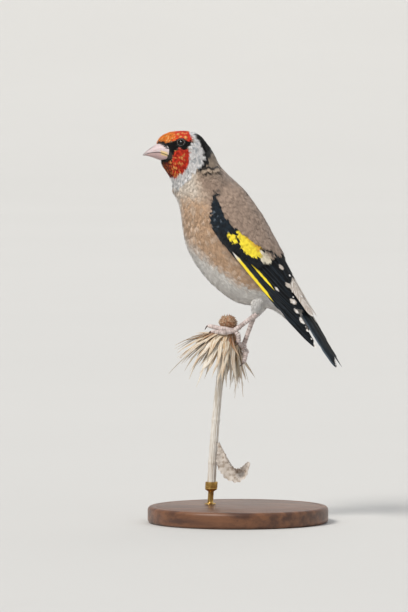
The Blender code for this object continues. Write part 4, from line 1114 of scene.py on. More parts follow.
wing_black = flight_finish("wing_vanes", True)
covert_soft = plume_finish("covert_feathers", 0.12, 0.1)
scapular_soft = plume_finish("scapular_feathers", 0.22)
pad_finish = Finish("wing_pad_skin")
pad_finish.surface(pad_finish.mix(pad_finish.noise(1.5), WING_BLACK, COVERT_BLACK), 0.8)


def wing_lift(t, q):
    """How high the small feathers lie over the oval, so that they cover the vanes' roots."""
    by_t = np.interp(t, (-12, -9, -6, 0, 10, 30), (-0.2, 0.6, 0.9, 0.8, 1.0, 1.3))
    return by_t + np.interp(q, (-3, 0, 5), (-0.7, 0, 0.3))


# Mantle feathers down the middle of the back, rooted in its skin, which bridge the furrow between
# the tops of the wings.
MANTLE_RISE = ((0.40, 0.45, 0.5, 0.55, 0.6, 0.65, 0.7, 0.75), (0.2, 1.0, 2.2, 2.5, 2.75, 3.1, 3.45, 3.45))
u, v = scatter(body_form, (0.41, 0.675, -0.03, 0.03), lambda u, v: np.full(len(u), 0.85), 81)
laid = lay_feathers(body_form, u, v, 5.0, 1.1, 82, depth=0.35, fray=0.35, wild=0.12,
                    over=np.interp(u + 0.01, *MANTLE_RISE) + 0.03 - 0.75 * (v / 0.03) ** 2)
mantle = coat_piece("mantle_plumes", laid, scapular_colours(laid["mark"], 83), scapular_soft, 84)
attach(mantle, "root")

for side, word in ((-1, "left"), (1, "right")):
    chance = np.random.default_rng(60 + side)
    vanes, places = [], []
    for root, tip, half, lift, marks, shape in wing_vanes():
        shares = np.linspace(0, 1, VANE_ROWS)
        t = root[0] + (tip[0] - root[0]) * shares
        q = root[1] + (tip[1] - root[1]) * shares + 0.5 * np.sin(shares * math.pi)
        rise = lift * np.interp(shares, (0, 0.5, 1), (0.85, 1.0, 1.0))
        path, normals = wing_place(t, wing_turn(t, q), rise, side)
        points = cut_vane(path, normals, half, chance, shape)
        points[:, 1] = side * np.maximum(side * points[:, 1], 0.3)
        vanes.append((points, math.dist(root, tip), marks))
        places.append(((root[0] + 12) / 96, 0.5))
    flight = vane_coat("flight_feathers_" + word, vanes, wing_black, places)
    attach(flight, "root")
    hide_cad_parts("wing_" + word)

    form = wing_form(side)
    t, turn = np.meshgrid(np.linspace(-10, 26, 73), np.linspace(0.07, 1.9, 61), indexing="ij")
    inner, outer = (wing_place(t, turn, np.full(t.shape, lift) - eased(t, -4, -10) * 1.2, side)[0]
                    for lift in (-1.4, -0.35))
    pad_faces = slab_faces(*t.shape, side > 0)
    pad = shown("wing_pad_" + word, np.concatenate((outer, inner)), pad_faces, pad_finish, 40)
    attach(pad, "root")

    def covert_pitch(u, v):
        t, q, _ = form.read(form.own, u, v).T
        inside = (q > np.interp(t, *COVERT_LOW)) & (q < np.interp(t, *SCAPULAR_LINE) + 1.2)
        return np.where(inside, np.interp(t, (-9, 8, 20), (0.62, 0.62, 0.8)), 0)

    u, v = scatter(form, (0.01, 0.40, 0.05, 0.9), covert_pitch, 62 + side)
    t, q, _ = form.read(form.own, u, v).T
    long = np.interp(t, (-9, 0, 8, 16, 24), (3.4, 2.6, 3.2, 4.6, 4.6))
    laid = lay_feathers(form, u, v, long, long * 0.24, 64 + side, depth=0.35, over=wing_lift(t, q))
    chest = plumage(own_of(laid["points"][:, 12]), 65)
    tones = covert_colours(laid["mark"], chest, 66 + side)
    coverts = coat_piece("wing_coverts_" + word, laid, tones, covert_soft, 68)
    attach(coverts, "root")

    def scapular_pitch(u, v):
        t, q, _ = form.read(form.own, u, v).T
        return np.where(q > np.interp(t + 3.5, *SCAPULAR_LINE) + 0.4, 1.0, 0)

    u, v = scatter(form, (0.0, 0.405, 0, 0.5), scapular_pitch, 72 + side)
    t, q, _ = form.read(form.own, u, v).T
    laid = lay_feathers(form, u, v, np.interp(t, (-12, 20, 30), (4.6, 6.0, 5.0)), 1.15, 74 + side, depth=0.5,
                        over=wing_lift(t, q) + 0.35, wild=0.13)
    laid["points"][..., 1] = side * np.maximum(side * laid["points"][..., 1], 0.05)
    tones = scapular_colours(laid["mark"], 76 + side)
    scapulars = coat_piece("scapulars_" + word, laid, tones, scapular_soft, 78)
    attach(scapulars, "root")

# The tail: twelve stiff black feathers rooted under the rump, folded into one flat stack with the
# middle pair on top. It is slightly forked, with white tips and pale edges.
TAIL_ROOT = np.array((18.5, 0.0, 106.6))
TAIL_SLOPE = math.radians(54.9)
TAIL_ALONG = np.array((math.cos(TAIL_SLOPE), 0.0, -math.sin(TAIL_SLOPE)))
TAIL_UP = np.array((math.sin(TAIL_SLOPE), 0.0, math.cos(TAIL_SLOPE)))
TAIL_START = 11.0
TAIL_LENGTH = 44.6
TAIL_SHAPE = ((0, 0.2, 0.75, 0.93, 0.985, 1), (0.5, 0.8, 1.15, 0.85, 0.5, 0.15))

tail_black = flight_finish("tail_vanes", False)
vanes, places = [], []
for side in (-1, 1):
    chance = np.random.default_rng(80 + side)
    for pair in range(6):
        share = pair / 5
        s = np.linspace(0, 1, VANE_ROWS)[:, None]
        reach = TAIL_START + (TAIL_LENGTH + 3.8 * share**1.3 - TAIL_START) * s
        out = 0.5 + 1.1 * share + (0.4 + share) * s
        rise = -0.19 * pair + (0.07 if side > 0 else 0.0)
        path = TAIL_ROOT + TAIL_ALONG * reach + TAIL_UP * rise + SIDEWAYS * side * out
        normals = np.repeat(unit(TAIL_UP + SIDEWAYS * side * 0.05 * pair)[None], VANE_ROWS, 0)
        points = cut_vane(path, normals, 1.65 + 0.15 * share, chance, TAIL_SHAPE)
        vanes.append((points, float(reach[-1, 0] - reach[0, 0]), (0.8, 0.8 if pair > 3 else 0.15)))
        places.append((0.1 + 0.06 * pair, 0.5 + side * 0.3))
tail = vane_coat("tail_feathers", vanes, tail_black, places)
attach(tail, "root")
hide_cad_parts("tail")

# The bill: a short pointed cone of horn in two halves that meet along a slightly gaping edge, with
# the bristles of the lores lying over the nostrils at its root.
# Each station gives the ridge, the lip between the halves and the keel as (along, height), then half
# the width there.
BILL_STATIONS = (
    ((-28.6, 160.2), (-27.2, 153.6), (-28.0, 151.9), 5.7),
    ((-31.8, 160.0), (-31.2, 154.9), (-31.4, 151.9), 4.7),
    ((-34.6, 159.2), (-33.8, 155.7), (-33.6, 152.3), 3.5),
    ((-36.5, 158.1), (-36.2, 155.6), (-35.7, 153.1), 2.7),
    ((-38.2, 156.9), (-38.0, 155.3), (-37.8, 153.8), 1.75),
    ((-39.7, 155.6), (-39.6, 154.9), (-39.5, 154.2), 0.85),
    ((-40.9, 154.6), (-40.8, 154.4), (-40.7, 154.2), 0.3),
)
BILL_GAPE = 0.24
BILL_PINK = paint(214, 198, 200)
BILL_LILAC = paint(188, 160, 158)
BILL_GREY = paint(112, 100, 98)
GAPE_YELLOW = paint(226, 196, 120)
BRISTLE_BROWN = (0.03, 0.025, 0.022)
BRISTLES = 300
BRISTLE_R = 0.09
LORE_LOW, LORE_HIGH = 154.6, 160.0


def bill_half(upper):
    """Rings of points of one half of the bill: an arch over the cutting edge, or the keel under it."""
    table = smooth(np.linspace(0, len(BILL_STATIONS) - 1, 49),
                   [(*ridge, *lip, *keel, half) for ridge, lip, keel, half in BILL_STATIONS])
    sign = 1 if upper else -1
    lip = table[:, 2:4] + np.array((0.0, sign * BILL_GAPE / 2))
    crest = table[:, 0:2] if upper else table[:, 4:6]
    half = table[:, 6] * (1.0 if upper else 0.9)
    turns = np.concatenate((np.linspace(0, math.pi, 29), [math.pi * 1.25, math.pi * 1.5, math.pi * 1.75]))
    up = bowed(np.sin(turns), 0.72)
    up = np.where(up < 0, 0.10 * up, up)
    flat = lip[:, None] + (crest - lip)[:, None] * up[None, :, None]
    side = half[:, None] * np.cos(turns)[None]
    return neck_turned(np.stack((flat[..., 0], side, flat[..., 1]), -1), HEAD_TURN), up


def bill_finish(name, upper):
    """Pinkish horn, greyer to the tip and the cutting edges, with a yellow corner at the gape."""
    made = Finish(name)
    tip = made.stored("to_tip")
    crest = made.stored("crest")
    fine = made.noise(0.8, 4.0)
    grain = made.strands(tip * 3.0, crest * 14.0, 0.0, 4.0)
    colour = made.mix(fine.ramp(0.35, 0.7) * 0.4, BILL_PINK if upper else BILL_LILAC, BILL_LILAC)
    ridge = crest.ramp(0.6, 1.0) * tip.ramp(0.35, 0.62) * (0.9 if upper else 0.3)
    colour = made.mix((tip.ramp(0.66, 0.98) + ridge).under(1.0) * 0.8, colour, BILL_GREY)
    colour = made.mix(grain.ramp(0.5, 0.75) * 0.3, colour, BILL_LILAC * 0.8)
    gape = tip.ramp(0.10, 0.15) * tip.ramp(0.31, 0.26) * crest.ramp(0.3, 0.08)
    colour = made.mix(gape * 0.85, colour, GAPE_YELLOW)
    colour = made.mix(crest.ramp(0.08, 0.0) * 0.5, colour, BILL_GREY)
    return made.surface(colour, grain.ramp(0.3, 0.7, 0.38, 0.5), Normal=made.bump(grain, 0.05),
                        Subsurface_Weight=0.15, Subsurface_Radius=(0.6 * MM, 0.3 * MM, 0.25 * MM))


for word in ("upper", "lower"):
    name = "bill_" + word + "_horn"
    rings, up = bill_half(word == "upper")
    half_bill = shown(name, *capped(rings, word == "lower"), bill_finish(name, word == "upper"), 60)
    rows, cols = rings.shape[:2]
    keep_on(half_bill.data, "to_tip", np.concatenate((np.repeat(np.linspace(0, 1, rows), cols), (0.0, 1.0))))
    keep_on(half_bill.data, "crest", np.concatenate((np.tile(np.clip(up, 0, 1), rows), (0.5, 0.5))))
    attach(half_bill, "root")
    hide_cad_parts("bill_" + word)


def hair(start, end, bend, radius, sides=5, rows=7):
    """A bristle that tapers from its root to its tip: its points and faces."""
    start, end, bend = (np.asarray(p, float) for p in (start, end, bend))
    s = np.linspace(0, 1, rows)[:, None]
    path = start * (1 - s) ** 2 + bend * 2 * s * (1 - s) + end * s * s
    line = unit(end - start)
    across = unit(np.cross(line, (0.3, 0.5, 0.8)))
    wide = radius * (1 - 0.85 * s[:, :, None])
    return capped(path[:, None] + wide * spokes(turns_of(sides), across, np.cross(line, across)))


bristle_finish = Finish("lore_bristles")
bristle_finish.surface(bristle_finish.mix(bristle_finish.noise(1.0), SOOT, BRISTLE_BROWN), 0.6)
chance = np.random.default_rng(91)
parts = []
for k in range(BRISTLES):
    side = -1 if k % 2 else 1
    height = chance.uniform(LORE_LOW, LORE_HIGH)
    wide = 4.9 * math.sqrt(max(0.02, 1 - ((height - 155.0) / 6.6) ** 2)) + 0.1
    along = -28.1 - (height - LORE_LOW) * 0.74 + chance.uniform(-0.1, 1.0)
    start = np.array((along, side * wide * chance.uniform(0.9, 1.02), height))
    reach = (chance.uniform(0.8, 1.9), side * chance.uniform(0.2, 0.9), chance.uniform(-0.2, 0.9))
    end = start - np.array(reach)
    bend = (start + end) / 2 + np.array((0.0, side * 0.35, 0.15))
    parts.append(hair(*(neck_turned(p, HEAD_TURN) for p in (start, end, bend)), BRISTLE_R))
bristles = shown("lore_bristles", *gathered(parts), bristle_finish)
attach(bristles, "root")

# The eyes: glossy near-black balls, a dark brown iris round a wide pupil, set into the skin of the
# head in a rim of bare lid beaded with tiny pale scales.
EYE_R = 2.0
EYE_MIDDLES = {"left": (-21.01, -11.06, 159.77), "right": (-25.70, 0.56, 159.77)}
EYE_OPEN = 1.34
IRIS_BROWN = paint(46, 26, 16)
PUPIL_BLACK = (0.002, 0.002, 0.002)
EYE_CLOUD = (0.004, 0.003, 0.002)
LID_BLACK = paint(16, 15, 15)
LID_PALE = paint(150, 148, 144)
LID_BEADS = 28
# The lid's section as (further out from the opening's rim, over the level of that rim).
LID_SECTION = ((-0.02, -0.25), (0.0, 0.02), (0.06, 0.08), (0.13, 0.07), (0.26, -0.06), (0.65, -0.4),
               (0.6, -0.95), (0.0, -0.85))

eye_gloss = Finish("eye_gloss")
edge = eye_gloss.stored("from_middle")
iris = eye_gloss.mix(edge.ramp(0.42, 0.62), PUPIL_BLACK, IRIS_BROWN * 0.5)
iris = eye_gloss.mix(eye_gloss.noise(0.3, 3.0) * 0.3, iris, EYE_CLOUD)
eye_gloss.surface(iris, 0.03, Specular_IOR_Level=0.25)
lid_finish = Finish("eyelid")
ring_tone = lid_finish.stored("bead").ramp(0.2, 0.8)
lid_finish.surface(lid_finish.mix(ring_tone, LID_BLACK, LID_PALE), 0.55,
                   Normal=lid_finish.bump(lid_finish.noise(0.25, 3.0), 0.05))
eyes_only = bpy.data.collections.new("eyes_only")
catch_light.light_linking.receiver_collection = eyes_only
for word, side in (("left", -1), ("right", 1)):
    middle = np.array(EYE_MIDDLES[word])
    out = unit(head_place(-24.95, 160.18, side * 1.0) - head_place(-24.7, 160.0))
    up = unit(np.array((0, 0, 1.0)) - out * out[2])
    fore = np.cross(up, out)
    lean_on = np.linspace(0, math.pi, 41)
    bulge = 1 + 0.03 * np.exp(-((lean_on / 0.5) ** 2))
    around = spokes(turns_of(64), fore, up)
    rings = middle + EYE_R * bulge[:, None, None] * (
        np.cos(lean_on)[:, None, None] * out + np.sin(lean_on)[:, None, None] * around)
    ball = shown("eye_ball_" + word, rings, faced(strips(*rings.shape[:2], True), side < 0), eye_gloss)
    keep_on(ball.data, "from_middle", np.repeat(np.sin(lean_on) * np.where(lean_on > 1.6, 0, 1), 64))
    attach(ball, "root")
    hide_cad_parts("eye_" + word)
    eyes_only.objects.link(ball)

    # The lid: a rounded beaded rim, which closes on the ball and sinks under the feathers.
    level = middle + out * math.sqrt(EYE_R**2 - EYE_OPEN**2)
    turns = turns_of(8 * LID_BEADS)
    bead = 0.5 + 0.5 * np.cos(turns * LID_BEADS)
    almond = 1 + 0.07 * np.cos(2 * turns)
    rings, beads = [], []
    for k, (further, rise) in enumerate(LID_SECTION):
        raised = 0.10 * bead if k in (2, 3) else np.zeros(len(turns))
        reach = ((EYE_OPEN + further) * almond)[:, None]
        rings.append(level + out * (rise + raised)[:, None] + reach * spokes(turns, fore, up))
        beads.append(bead if k in (1, 2, 3) else bead * 0.1)
    rings = np.array(rings)
    rows, cols = rings.shape[:2]
    faces = strips(rows, cols, True)
    low = (rows - 1) * cols
    faces += [(low + j, low + (j + 1) % cols, (j + 1) % cols, j) for j in range(cols)]
    lid = shown("eyelid_" + word, rings, faced(faces, side > 0), lid_finish)
    keep_on(lid.data, "bead", np.array(beads).ravel())
    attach(lid, "root")

# The legs and feet: thin bare shanks and toes in overlapping scutes, with curved claws of dark horn,
# which grip the dead flower head.
# For each leg: the ankle, the ball of the foot, and the joints of its four toes, the last one the claw's tip.
LEGS = {
    "left": ((9.5, -5.6, 87.4), (-0.6, -3.0, 80.9), (
        ((-4.6, -4.9, 81.7), (-8.8, -4.3, 82.3), (-12.4, -2.7, 82.7), (-14.2, -2.1, 80.8)),
        ((-3.6, -5.6, 80.2), (-7.2, -5.4, 80.3), (-10.2, -4.5, 80.5), (-11.9, -4.3, 78.6)),
        ((-0.3, -0.6, 81.6), (-1.0, 3.6, 82.0), (-5.6, 4.9, 82.4), (-8.6, 3.0, 82.2)),
        ((1.0, -2.6, 79.2), (1.2, -2.3, 76.9), (0.9, -2.2, 75.9), (-0.5, -2.2, 74.6)))),
    "right": ((4.6, 5.2, 85.3), (0.9, 3.3, 73.6), (
        ((2.5, 2.2, 71.2), (2.7, 0.9, 68.9), (2.3, -0.2, 67.3), (0.9, -0.6, 65.7)),
        ((1.9, 4.8, 71.6), (-0.9, 6.6, 70.2), (-3.6, 7.3, 69.6), (-5.4, 6.6, 68.6)),
        ((0.6, 5.5, 73.9), (-2.2, 7.2, 74.2), (-4.8, 7.4, 74.2), (-6.6, 6.5, 73.4)),
        ((0.4, 1.4, 74.9), (0.3, -0.3, 75.9), (0.0, -1.0, 76.2), (-1.3, -1.8, 75.6)))),
}
SHANK_RADII = ((0, 0.12, 0.5, 0.88, 1), (1.1, 0.98, 0.92, 1.02, 1.15))
TOE_RADII = (1.12, 0.98, 1.06, 0.9, 0.98, 0.84, 0.66)
CLAW_RADII = (0.42, 0.395, 0.32, 0.2, 0.06)
LEG_PINK = paint(218, 204, 200)
LEG_GREY = paint(124, 102, 94)
CLAW_BROWN = paint(52, 42, 38)
# How far each scute's edge stands out, as a share of the radius, and millimetres from one to the next.
SHANK_SCUTES = (0.13, 1.35)
TOE_SCUTES = (0.16, 0.95)
CLAW_LENGTH = 3.0


def hose(path, radii, sides, scute=0.0, each=1.0):
    """Rings round a path, stepped every so many millimetres as overlapping scutes are."""
    along = unit(np.gradient(path, axis=0))
    gone = np.concatenate(((0.0,), np.cumsum(np.linalg.norm(np.diff(path, axis=0), axis=1))))
    step = 1 + scute * (np.mod(gone / each, 1.0) - 0.5)
    across = np.cross(along[0], (0.2, 0.3, 0.9))
    rings = []
    turns = turns_of(sides)
    for p, a, r, k in zip(path, along, radii, step):
        across = unit(across - a * across.dot(a))
        grown = 1 + (k - 1) * (0.6 + 0.4 * np.cos(turns))[:, None]
        rings.append(p + r * grown * spokes(turns, across, np.cross(a, across)))
    return np.array(rings), gone


skin_finish = Finish("leg_scutes")
gone = skin_finish.stored("gone")
seam = skin_finish.node("ShaderNodeMath", {"operation": "FRACT"}, {0: gone})
scale_tone = seam.ramp(0.7, 0.98) * skin_finish.noise(1.5, 3.0).ramp(0.3, 0.6)
leg_colour = skin_finish.mix(skin_finish.noise(2.0, 4.0).ramp(0.35, 0.7) * 0.6, LEG_PINK, LEG_GREY)
leg_colour = skin_finish.mix(scale_tone * 0.75, leg_colour, LEG_GREY * 0.5)
skin_finish.surface(leg_colour, 0.5, Normal=skin_finish.bump(skin_finish.noise(0.35, 3.0), 0.06),
                    Subsurface_Weight=0.1, Subsurface_Radius=(0.5 * MM, 0.25 * MM, 0.2 * MM))
claw_finish = Finish("claw_horn")
claw_run = claw_finish.stored("gone")
claw_finish.surface(claw_finish.mix(claw_run.ramp(0.1, 0.8), LEG_GREY * 0.7, CLAW_BROWN * 0.6), 0.32,
                    Normal=claw_finish.bump(claw_finish.noise(0.5, 3.0), 0.03))


def bare_piece(name, tubes, finish, node):
    """One object of closed scaled tubes, each given as (path, radii, sides, scute, each)."""
    parts, kept = [], []
    for path, radii, sides, scute, each in tubes:
        rings, gone = hose(np.asarray(path), radii, sides, scute, each)
        parts.append(capped(rings))
        kept += [np.repeat(gone / each, sides), (gone[0], gone[-1] / each)]
    made = shown(name, *gathered(parts), finish, 45)
    keep_on(made.data, "gone", np.concatenate(kept))
    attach(made, "root")
    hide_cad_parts(*node)


for word, (ankle, ball_of_foot, toes) in LEGS.items():
    # The shank runs from just inside the thigh's feathers to the ball of the foot.
    top, foot = np.array(ankle), np.array(ball_of_foot)
    s = np.linspace(-0.16, 1, 121)
    tubes = [(top + (foot - top) * s[:, None], np.interp(s, *SHANK_RADII), 20, *SHANK_SCUTES)]
    claws = []
    for toe in toes:
        points = (ball_of_foot, *toe[:-1])
        path = smooth(np.linspace(0, len(points) - 1, 61), points)
        radii = np.interp(np.linspace(0, 6, 61), range(7), TOE_RADII)
        radii[-3:] *= (0.96, 0.8, 0.5)
        tubes.append((path, radii, 16, *TOE_SCUTES))
        root, tip = np.array(toe[-2], float), np.array(toe[-1], float)
        heading = unit(root - np.array(toe[-3], float))
        start = root - heading * 0.25
        knee = start + heading * 1.2
        s = np.linspace(0, 1, 25)[:, None]
        claws.append(((1 - s) ** 2 * start + 2 * s * (1 - s) * knee + s * s * tip,
                      np.interp(s[:, 0] * 4, range(5), CLAW_RADII), 12, 0.0, CLAW_LENGTH))
    bare_piece("shank_and_toes_" + word, tubes, skin_finish, ["leg_" + word])
    bare_piece("claws_" + word, claws, claw_finish, [f"claw_{word}_{number}" for number in (1, 2, 3, 4)])

# The perch: a dead thistle head on its stalk. The dried cup is wrapped in hundreds of straw-pale
# bracts that droop like a skirt, each a stiff ribbed blade that ends in a spine.
THISTLE_FOOT = np.array((-6.27, 0.0, 71.5))
THISTLE_LEAN = math.radians(8.0)
THISTLE_PROFILE = ((0.0, 1.5), (2.4, 2.4), (4.6, 3.3), (7.2, 3.3), (9.0, 3.1), (10.4, 3.2), (12.2, 3.6),
                   (13.6, 3.4), (14.7, 2.5), (15.3, 1.0))
# Each row of bracts: how many, how high they leave the cup, length, width and extra spread.
BRACT_ROWS = ((12, 5.6, 16.0, 1.6, -8), (16, 6.4, 22.5, 2.0, -4), (20, 7.0, 25.0, 2.1, 0),
              (20, 7.6, 21.0, 2.4, 4), (20, 8.2, 19.0, 2.6, 4), (18, 8.7, 16.0, 3.0, 5),
              (17, 9.2, 15.0, 3.0, 8), (16, 9.7, 12.5, 3.2, 8), (16, 10.1, 12.0, 3.0, 6),
              (15, 10.5, 9.5, 3.0, 10), (14, 10.8, 8.5, 2.4, 3), (13, 11.1, 7.0, 2.2, 6))
BRACT_THICK = 0.22
BRACT_COLS = np.array((-1.0, -0.5, 0.0, 0.5, 1.0))
STRAW = paint(212, 201, 178)
STRAW_PALE = paint(240, 236, 226)
BRACT_TAN = paint(178, 140, 98)
BRACT_RUST = paint(148, 98, 62)
FLORET_RUST = paint(190, 154, 126)
PAINTED_BLADE_SHADE = paint(96, 90, 76)
thistle_up = np.array((math.sin(THISTLE_LEAN), 0.0, math.cos(THISTLE_LEAN)))
thistle_side = np.array((math.cos(THISTLE_LEAN), 0.0, -math.sin(THISTLE_LEAN)))


def thistle_out(turn):
    """The way straight out from the head's middle line at an angle round it."""
    return thistle_side * math.cos(turn) + SIDEWAYS * math.sin(turn)


def cup_radius(height):
    return float(np.interp(height, *zip(*THISTLE_PROFILE)))


def dry_bract(turn, height, length, width, extra, chance, rows=15):
    """One dry bract: a curled, ribbed blade that leaves the cup outward, hangs and ends in a spine."""
    out = thistle_out(turn)
    ahead = -math.cos(turn)
    spread = math.radians(max(5.0, 26 + 19 * ahead + extra * (0.6 + 0.4 * ahead)))
    s = np.linspace(0, 1, rows)
    swing = chance.normal(0, 0.10)
    bend = spread + math.radians(27 + 7 * ahead) * (1 - s) ** 2 + chance.normal(0, 0.08) + swing * s * 2
    bend = np.minimum(bend, 1.42)
    step = np.stack((np.sin(bend), np.cos(bend)), 1) * length / (rows - 1)
    gone = np.concatenate((np.zeros((1, 2)), np.cumsum(step, 0)[:-1]))
    flat = unit(np.cross(out, thistle_up))
    sway = flat * (chance.normal(0, 0.9) * s**2 + 0.25 * np.sin(s * 9 + turn * 5))[:, None]
    height -= 0.8 * max(0.0, ahead) * max(0.0, height - 8.0)
    start = THISTLE_FOOT + thistle_up * height + out * (cup_radius(height) - 0.7)
    path = start + out * gone[:, :1] - thistle_up * gone[:, 1:] + sway
    along = unit(np.gradient(path, axis=0))
    twist = chance.normal(0, 0.35) * s
    across = unit(flat[None] * np.cos(twist)[:, None] + out[None] * np.sin(twist)[:, None])
    normal = unit(np.cross(across, along))
    half = width / 2 * np.interp(s, (0, 0.15, 0.55, 0.8, 0.92, 1), (0.75, 1.0, 0.8, 0.42, 0.14, 0.05))
    cols = BRACT_COLS
    curl = chance.uniform(-0.1, 0.5)
    rib = 0.10 * (np.abs(cols) < 0.1)[None] * (1 - 0.6 * s)[:, None]
    hollow = curl * cols[None] ** 2 * half[:, None]
    ragged = 1 + 0.08 * np.sin(s * 31 + chance.uniform(0, 6))[:, None] * (np.abs(cols) > 0.9)[None]
    top = path[:, None] + across[:, None] * (cols[None] * half[:, None] * ragged)[..., None]
    top = top + normal[:, None] * (rib - hollow)[..., None]
    thick = BRACT_THICK * (1 - 0.5 * s)[:, None, None]
    thick = thick * np.interp(np.abs(cols), (0, 1), (1.3, 0.5))[None, :, None]
    points = sheet(top, normal[:, None] * thick)
    return points, slab_faces(rows, len(cols)), np.tile(np.repeat(s, len(cols)), 2), np.tile(cols, 2 * rows)


dry_finish = Finish("dry_bracts")
across, along, tone = dry_finish.three_stored("blade")
fibre = dry_finish.strands(across * 4.5, along * 3.0, tone * 29.0, 4.0)
shaded = dry_finish.mix(fibre.ramp(0.35, 0.68), BRACT_TAN, STRAW)
shaded = dry_finish.mix(tone.ramp(0.25, 1.0) * fibre.ramp(0.3, 0.6), shaded, STRAW_PALE)
shaded = dry_finish.mix((tone.ramp(0.34, 0.2) * along.ramp(1.1, 0.3)).under(0.85), shaded, BRACT_RUST)
shaded = dry_finish.mix(abs(across).ramp(0.25, 0.0) * 0.4, shaded, STRAW_PALE)
# Painted shade: some blades are darkened grey, as if in the shadow of others.
shaded = dry_finish.mix(dry_finish.stored("blade_shade"), shaded, PAINTED_BLADE_SHADE)
crinkle = dry_finish.bump(dry_finish.noise(1.2, 4.0), 0.08)
dry_finish.surface(shaded, 0.8, Normal=dry_finish.bump(fibre, 0.12, crinkle), Specular_IOR_Level=0.25)

chance = np.random.default_rng(101)
parts, blades, blade_shade = [], [], []
for number, (count, height, length, width, extra) in enumerate(BRACT_ROWS):
    for k in range(count):
        turn = 2 * math.pi * (k + 0.5 * (number % 2)) / count + chance.uniform(-0.12, 0.12)
        points, faces, s, x = dry_bract(
            turn, height + chance.uniform(-0.4, 0.4), length * chance.uniform(0.82, 1.1),
            width * chance.uniform(0.75, 1.2), extra + chance.uniform(-6, 6), chance)
        parts.append((points, faces))
        # Short rows are the rust-brown inner bracts, long ones the bleached outer ones.
        age = np.clip(0.35 + (length - 13) * 0.045 + chance.normal(0, 0.16), 0, 1)
        blades.append(np.stack((x, s, np.full(len(s), age)), 1))
        # About one blade in six gets half of that painted shade, and the rest only a little.
        blade_shade.append(np.full(len(s), 0.5 if chance.random() < 0.16 else chance.uniform(0, 0.12)))
thistle = shown("thistle_bracts", *gathered(parts), dry_finish, 40)
keep_on(thistle.data, "blade", np.concatenate(blades), "FLOAT_VECTOR")
keep_on(thistle.data, "blade_shade", np.concatenate(blade_shade))
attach(thistle, "root")
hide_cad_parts("perch_thistle")

# The thistle's cup, a brown fleshy base that the bracts grow from, dried hard, and the rusty stubble
# of florets left on its dome.
FLORETS = 650
cup_finish = Finish("thistle_cup")
speck = cup_finish.noise(0.7, 4.0)
cup_tone = cup_finish.mix(speck.ramp(0.35, 0.65), BRACT_RUST, FLORET_RUST)
cup_finish.surface(cup_finish.mix(cup_finish.noise(1.8, 3.0).ramp(0.5, 0.75), cup_tone, STRAW), 0.85,
                   Normal=cup_finish.bump(speck, 0.2))
s = np.linspace(0, len(THISTLE_PROFILE) - 1, 46)
heights, radii = smooth(s, THISTLE_PROFILE).T
radii = radii * 0.94
turns = turns_of(72)
dimple = 1 + 0.02 * np.sin(turns * 21)[None] * np.cos(s * 6)[:, None]
ring = spokes(turns, thistle_side, SIDEWAYS)
rings = THISTLE_FOOT + thistle_up * heights[:, None, None] + ring * (radii[:, None] * dimple)[..., None]
cup = shown("thistle_cup", *capped(rings), cup_finish)
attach(cup, "root")

floret_finish = Finish("thistle_florets")
grade = floret_finish.stored("tone")
rusty = floret_finish.mix(grade, FLORET_RUST, STRAW)
floret_finish.surface(floret_finish.mix(grade, BRACT_RUST, rusty), 0.85)
parts, tones = [], []
for k in range(FLORETS):
    share = chance.uniform(0, 1) ** 0.7
    height = 11.4 + 3.9 * (1 - share)
    out = thistle_out(chance.uniform(0, 2 * math.pi))
    start = THISTLE_FOOT + thistle_up * height + out * cup_radius(height) * 0.86
    lean_out = unit(out * (0.35 + share) + thistle_up * (1.1 - share) + chance.normal(0, 0.3, 3))
    end = start + lean_out * chance.uniform(0.4, 1.3)
    bend = (start + end) / 2 + chance.normal(0, 0.1, 3)
    parts.append(hair(start, end, bend, chance.uniform(0.12, 0.28), 4, 4))
    tones.append(np.full(len(parts[-1][0]), chance.random()))
florets = shown("thistle_florets", *gathered(parts), floret_finish)
keep_on(florets.data, "tone", np.concatenate(tones))
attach(florets, "root")

# The thistle's stalk: a bleached dry stem, grooved along its length, with bark fibres and small
# nodes. It is cut square at its foot, where it stands in the rod's cup, and carries the head.
STEM_POINTS = ((-12.1, 0, 14.7), (-10.9, 0, 33.0), (-8.8, 0, 55.0), (-6.3, 0, 71.2))
STEM_R = (1.8, 1.72, 1.58, 1.5)
STEM_PALE = paint(232, 230, 226)
STEM_TAN = paint(200, 190, 176)
STEM_BLOTCH = paint(150, 134, 116)
STEM_RIBS = 13
STEM_NODES = (0.62, 1.45, 2.3)
stem_finish = Finish("dry_stalk")
groove = stem_finish.stored("groove")
fibre = stem_finish.noise(0.45, 5.0, (1.0, 1.0, 0.06))
blotch = stem_finish.noise(5.0, 4.0)
bark = stem_finish.mix(fibre.ramp(0.35, 0.68), STEM_TAN, STEM_PALE)
bark = stem_finish.mix(blotch.ramp(0.55, 0.8) * 0.35, bark, STEM_BLOTCH)
# Painted shade darkens the grooves between the ribs.
bark = stem_finish.mix(groove.ramp(0.35, 0.0) * 0.4, bark, STEM_TAN * 0.7)
stem_finish.surface(bark, 0.8, Normal=stem_finish.bump(fibre, 0.15), Specular_IOR_Level=0.25)

s = np.linspace(0, len(STEM_POINTS) - 1, 181)
path = smooth(s, STEM_POINTS)
turns = turns_of(80)
ribs = 0.5 + 0.5 * np.cos(turns * STEM_RIBS + 0.6)
node_rise = sum(0.12 * np.exp(-(((s - at) / 0.035) ** 2)) for at in STEM_NODES)
flat = np.cross(unit(np.gradient(path, axis=0)), SIDEWAYS)
swell = 1 + node_rise[:, None] + 0.05 * (ribs[None] - 0.6) + 0.012 * np.sin(s * 37)[:, None]
rings = path[:, None] + (smooth(s, STEM_R)[:, None] * swell)[..., None] * spokes(turns, flat, SIDEWAYS)
stalk = shown("thistle_stalk", *capped(rings, True), stem_finish)
keep_on(stalk.data, "groove", np.concatenate((np.tile(ribs, len(s)), (0.0, 0.0))))
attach(stalk, "root")
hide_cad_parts("perch_stem")

